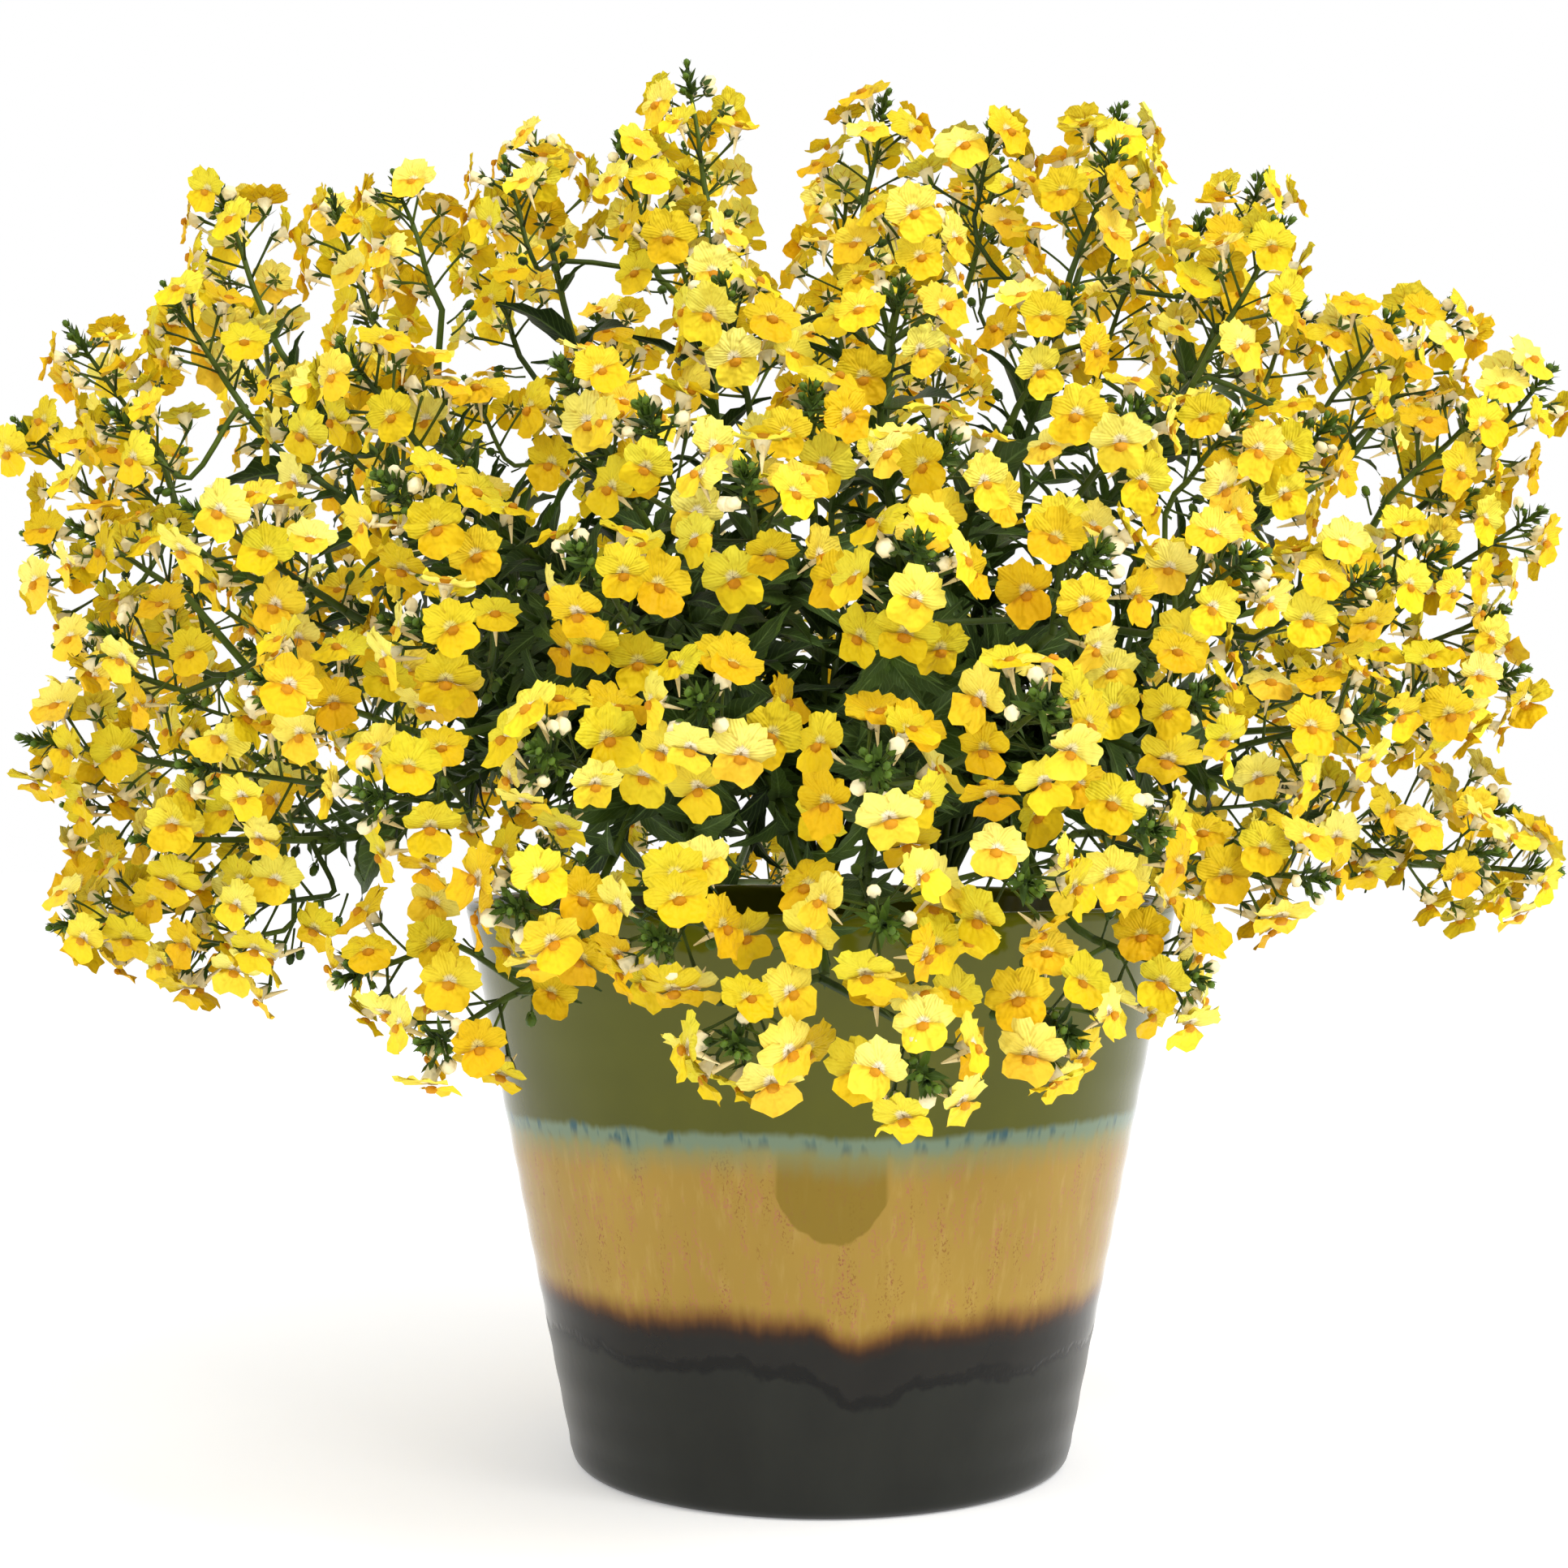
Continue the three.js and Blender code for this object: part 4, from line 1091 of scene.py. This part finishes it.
def glaze_material():
    """Glazed stoneware, dipped and run: glossy bands that melt into each other, with streaks."""
    m, shader = new_material("glazed stoneware, dipped")
    place = add_node(m, "TexCoord").outputs["Object"]
    z = add_node(m, "SeparateXYZ", place).outputs[2]

    def lumps(scale, stretch, detail=3.0, roughness=0.5):
        """A field of that many lumps a metre, drawn out upward."""
        upward = add_node(m, "Mapping", place, Scale=(scale, scale, scale / stretch))
        return add_node(m, "TexNoise", upward, Scale=1.0, Detail=detail, Roughness=roughness)

    def above(edge, *waves):
        """How far above a wavy line round the pot, in metres."""
        total = add_node(m, "Math", z, edge, operation="SUBTRACT")
        for field, size in waves:
            off = add_node(m, "Math", field, 0.5, operation="SUBTRACT")
            total = add_node(m, "Math", off, size, total, operation="MULTIPLY_ADD")
        return total

    def near_upright_line(run, reach):
        """How near a place is to an upright line, of a run and of the painted reflection."""
        flat = add_node(m, "VectorMath", place, (1, 1, 0), operation="MULTIPLY")
        away = add_node(m, "VectorMath", flat, (*run, 0), operation="DISTANCE")
        return add_node(m, "MapRange", away, reach, 0.0)

    broad = lumps(9, 1.0, 1.0)
    drips = lumps(260, 5.0, 2.0)
    drops = lumps(45, 3.0, 1.0)
    ragged = lumps(170, 1.5, 4.0)
    speck = lumps(1500, 1.6)
    above_blue = above(OLIVE_EDGE, (broad, 0.008), (drips, 0.003), (drops, 0.004))
    above_grey = above(BLUE_EDGE, (broad, 0.008), (drips, 0.006), (drops, 0.005))
    above_grey = add_node(m, "Math", near_upright_line(LEFT_RUN, 0.009), 0.003, above_grey,
                          operation="MULTIPLY_ADD")
    above_brown = above(OCHRE_EDGE, (broad, 0.016), (drips, 0.004), (drops, 0.006))
    above_brown = add_node(m, "Math", near_upright_line(FRONT_RUN, 0.017), 0.006, above_brown,
                           operation="MULTIPLY_ADD")
    above_foot = above(BROWN_EDGE, (broad, 0.022), (drops, 0.008), (ragged, 0.008))
    above_foot = add_node(m, "Math", near_upright_line(FRONT_RUN, 0.024), 0.011, above_foot,
                          operation="MULTIPLY_ADD")
    # Olive glaze above a line of blue-grey drips
    olive = add_node(m, "Mix", lumps(30, 1.5), "#464803", "#5C5E08")
    olive = add_node(m, "Mix", add_node(m, "MapRange", z, 0.12, 0.19), olive, "#54570A")
    blue = add_node(m, "Mix", add_node(m, "MapRange", drips, 0.3, 0.52), "#33585F", "#72846C")
    # Ochre with pale, pink and rust streaks, the last two broken up by fine specks
    ochre = add_node(m, "Mix", lumps(22, 2.0), "#95762A", "#AE8D3B")
    streaks = add_node(m, "MapRange", lumps(330, 9.0, 3.0, 0.6), 0.5, 0.75, 0.0, 0.25)
    ochre = add_node(m, "Mix", streaks, ochre, "#C3A660")
    for field, starts, full, speck_starts, speck_full, most, tone in (
            (lumps(300, 14.0, 2.0, 0.6), 0.5, 0.62, 0.46, 0.6, 0.8, "#A9714A"),
            (lumps(170, 8.0, 2.0), 0.52, 0.66, 0.55, 0.64, 0.6, "#7E4A1E")):
        dotted = add_node(m, "MapRange", speck, speck_starts, speck_full, 0.0, most)
        share = add_node(m, "Math", add_node(m, "MapRange", field, starts, full), dotted,
                         operation="MULTIPLY")
        ochre = add_node(m, "Mix", share, ochre, tone)
    # Charcoal foot with a dark ragged line over it, then a burnt brown melt up to the ochre
    char = add_node(m, "Mix", lumps(60, 1.0, 4.0), "#12100D", "#201F1B")
    foot = add_node(m, "Mix", lumps(45, 2.0, 4.0), "#131410", "#242620")
    line = add_node(m, "Math", add_node(m, "MapRange", above_foot, -0.0036, -0.0016, 0.0, 0.9),
                    add_node(m, "MapRange", above_foot, 0.0024, 0.0004), operation="MULTIPLY")
    colour = add_node(m, "Mix", add_node(m, "MapRange", above_foot, -0.0008, 0.0008), foot, char)
    colour = add_node(m, "Mix", line, colour, "#040403")
    for starts, full, tone in ((-0.001, 0.004, "#2A1608"), (0.002, 0.008, "#6E4614"),
                               (0.005, 0.013, ochre)):
        melt = add_node(m, "MapRange", above_brown, starts, full)
        colour = add_node(m, "Mix", melt, colour, tone)
    # Painted reflection: a darker olive patch over the ochre at the front, for a dark reflection
    near_reflection_patch = near_upright_line(REFLECTION_PATCH, 0.0195)
    above_reflection_patch = above(REFLECTION_PATCH_EDGE, (broad, 0.006), (drops, 0.008), (ragged, 0.004))
    above_reflection_patch = add_node(m, "Math", add_node(m, "Math", near_reflection_patch, 0.2, operation="POWER"),
                            0.027, above_reflection_patch, operation="MULTIPLY_ADD")
    in_reflection_patch = add_node(m, "Math", add_node(m, "MapRange", above_reflection_patch, 0.0, 0.0012, 0.0, 0.8),
                         add_node(m, "MapRange", near_reflection_patch, 0.0, 0.06), operation="MULTIPLY")
    colour = add_node(m, "Mix", in_reflection_patch, colour, "#80680A")
    for height, starts, full, most, tone in ((above_grey, -0.011, 0.001, 0.85, "#7F8458"),
                                             (above_grey, -0.0025, 0.0025, 1.0, blue),
                                             (above_blue, -0.001, 0.002, 1.0, olive)):
        share = add_node(m, "MapRange", height, starts, full, 0.0, most)
        colour = add_node(m, "Mix", share, colour, tone)
    # Orange peel of the fired glaze, 3 mm from crest to crest, and the step at the foot's line
    step = add_node(m, "MapRange", above_foot, -0.001, 0.001, 0.0, 0.5)
    relief = add_node(m, "Math", lumps(330, 1.0, 1.0), 0.12, step, operation="MULTIPLY_ADD")
    feed(shader, Base_Color=colour, Specular_IOR_Level=0.24,
         Roughness=add_node(m, "MapRange", above_foot, -0.002, 0.002, 0.28, 0.1),
         Normal=add_node(m, "Bump", Height=relief, Strength=0.35, Distance=0.0006))
    return m


def soil_material():
    """Potting compost, sifted: dark brown crumbs with paler fibres."""
    m, shader = new_material("potting compost, sifted")
    place = add_node(m, "TexCoord").outputs["Object"]
    crumbs = add_node(m, "TexNoise", place, Scale=420.0, Detail=6.0)
    fibres = add_node(m, "TexNoise", place, Scale=90.0, Detail=3.0)
    colour = add_node(m, "Mix", add_node(m, "MapRange", crumbs, 0.3, 0.7), "#1E150E", "#43301F")
    fibres = add_node(m, "MapRange", fibres, 0.62, 0.72, 0.0, 0.5)
    feed(shader, Base_Color=add_node(m, "Mix", fibres, colour, "#6B5238"), Roughness=0.95,
         Normal=add_node(m, "Bump", Height=crumbs, Strength=0.9, Distance=0.002))
    return m


def floor_material():
    """Matt white studio card, lit a little from within so that it reads as white as the wall."""
    m, shader = new_material("studio card, matt white")
    feed(shader, Base_Color="#FAFAFA", Roughness=0.9, Emission_Color="#FFFFFF",
         Emission_Strength=0.28)
    return m


# The plant in its pot
petals = petal_material()
greens = green_material()
sprays = [plan_spray(rows, number) for number, rows in enumerate(SPRAYS)]
add_side_spikes(sprays)
flowers = place_flowers(sprays)
leaves = place_leaves(sprays, flowers)
finish_piece(make_pot(), "glazed_pot", [glaze_material()], ["pot"])
finish_piece(make_soil(), "crumbly_soil", [soil_material()], ["soil"])
for plant in PLANTS:
    finish_piece(make_plant(plant, sprays, leaves), "stems_and_leaves_" + plant[0][6:], [greens],
                 [plant[0]])
for spray in sprays:
    own = [place for place in flowers if place["number"] == spray["number"]]
    label = f"{spray['number'] + 1:02d}"
    finish_piece(make_spray(spray, own), "blooming_spray_" + label, [petals, greens],
                 ["flower_spray_" + label])

# Floor, light and camera
floor_bm = bmesh.new()
bmesh.ops.create_grid(floor_bm, x_segments=1, y_segments=1, size=6)
floor_mesh = bpy.data.meshes.new("floor")
floor_bm.to_mesh(floor_mesh)
floor_bm.free()
floor_mesh.materials.append(floor_material())
floor = bpy.data.objects.new("floor", floor_mesh)
bpy.context.scene.collection.objects.link(floor)

world = bpy.data.worlds.new("soft white studio")
world.use_nodes = True
seen = add_node(world, "LightPath").outputs["Is Camera Ray"]
feed(world.node_tree.nodes["Background"], "#FFFFFF",
     add_node(world, "MapRange", seen, 0.0, 1.0, 0.78, 1.0))
bpy.context.scene.world = world
bpy.context.scene.view_settings.view_transform = "Standard"


def soft_light(name, place, aim, size, watts):
    light = bpy.data.lights.new(name, "AREA")
    light.shape = "RECTANGLE"
    light.size, light.size_y = size
    light.energy = watts
    lamp = bpy.data.objects.new(name, light)
    lamp.location = place
    lamp.rotation_euler = (Vector(aim) - Vector(place)).to_track_quat("-Z", "Y").to_euler()
    bpy.context.scene.collection.objects.link(lamp)


soft_light("key light", (1.2, -1.3, 1.7), (0, 0, 0.28), (0.9, 0.9), 31)
soft_light("fill light", (-1.5, -1.2, 1.3), (0, 0, 0.28), (0.8, 1.2), 8)

camera_data = bpy.data.cameras.new("camera")
camera_data.sensor_width = 36
camera_data.lens = 60.65
camera = bpy.data.objects.new("camera", camera_data)
camera.location = (-0.0127, -0.925, 0.2346)
camera.rotation_euler = (math.radians(90), 0, 0)
bpy.context.scene.collection.objects.link(camera)
bpy.context.scene.camera = camera
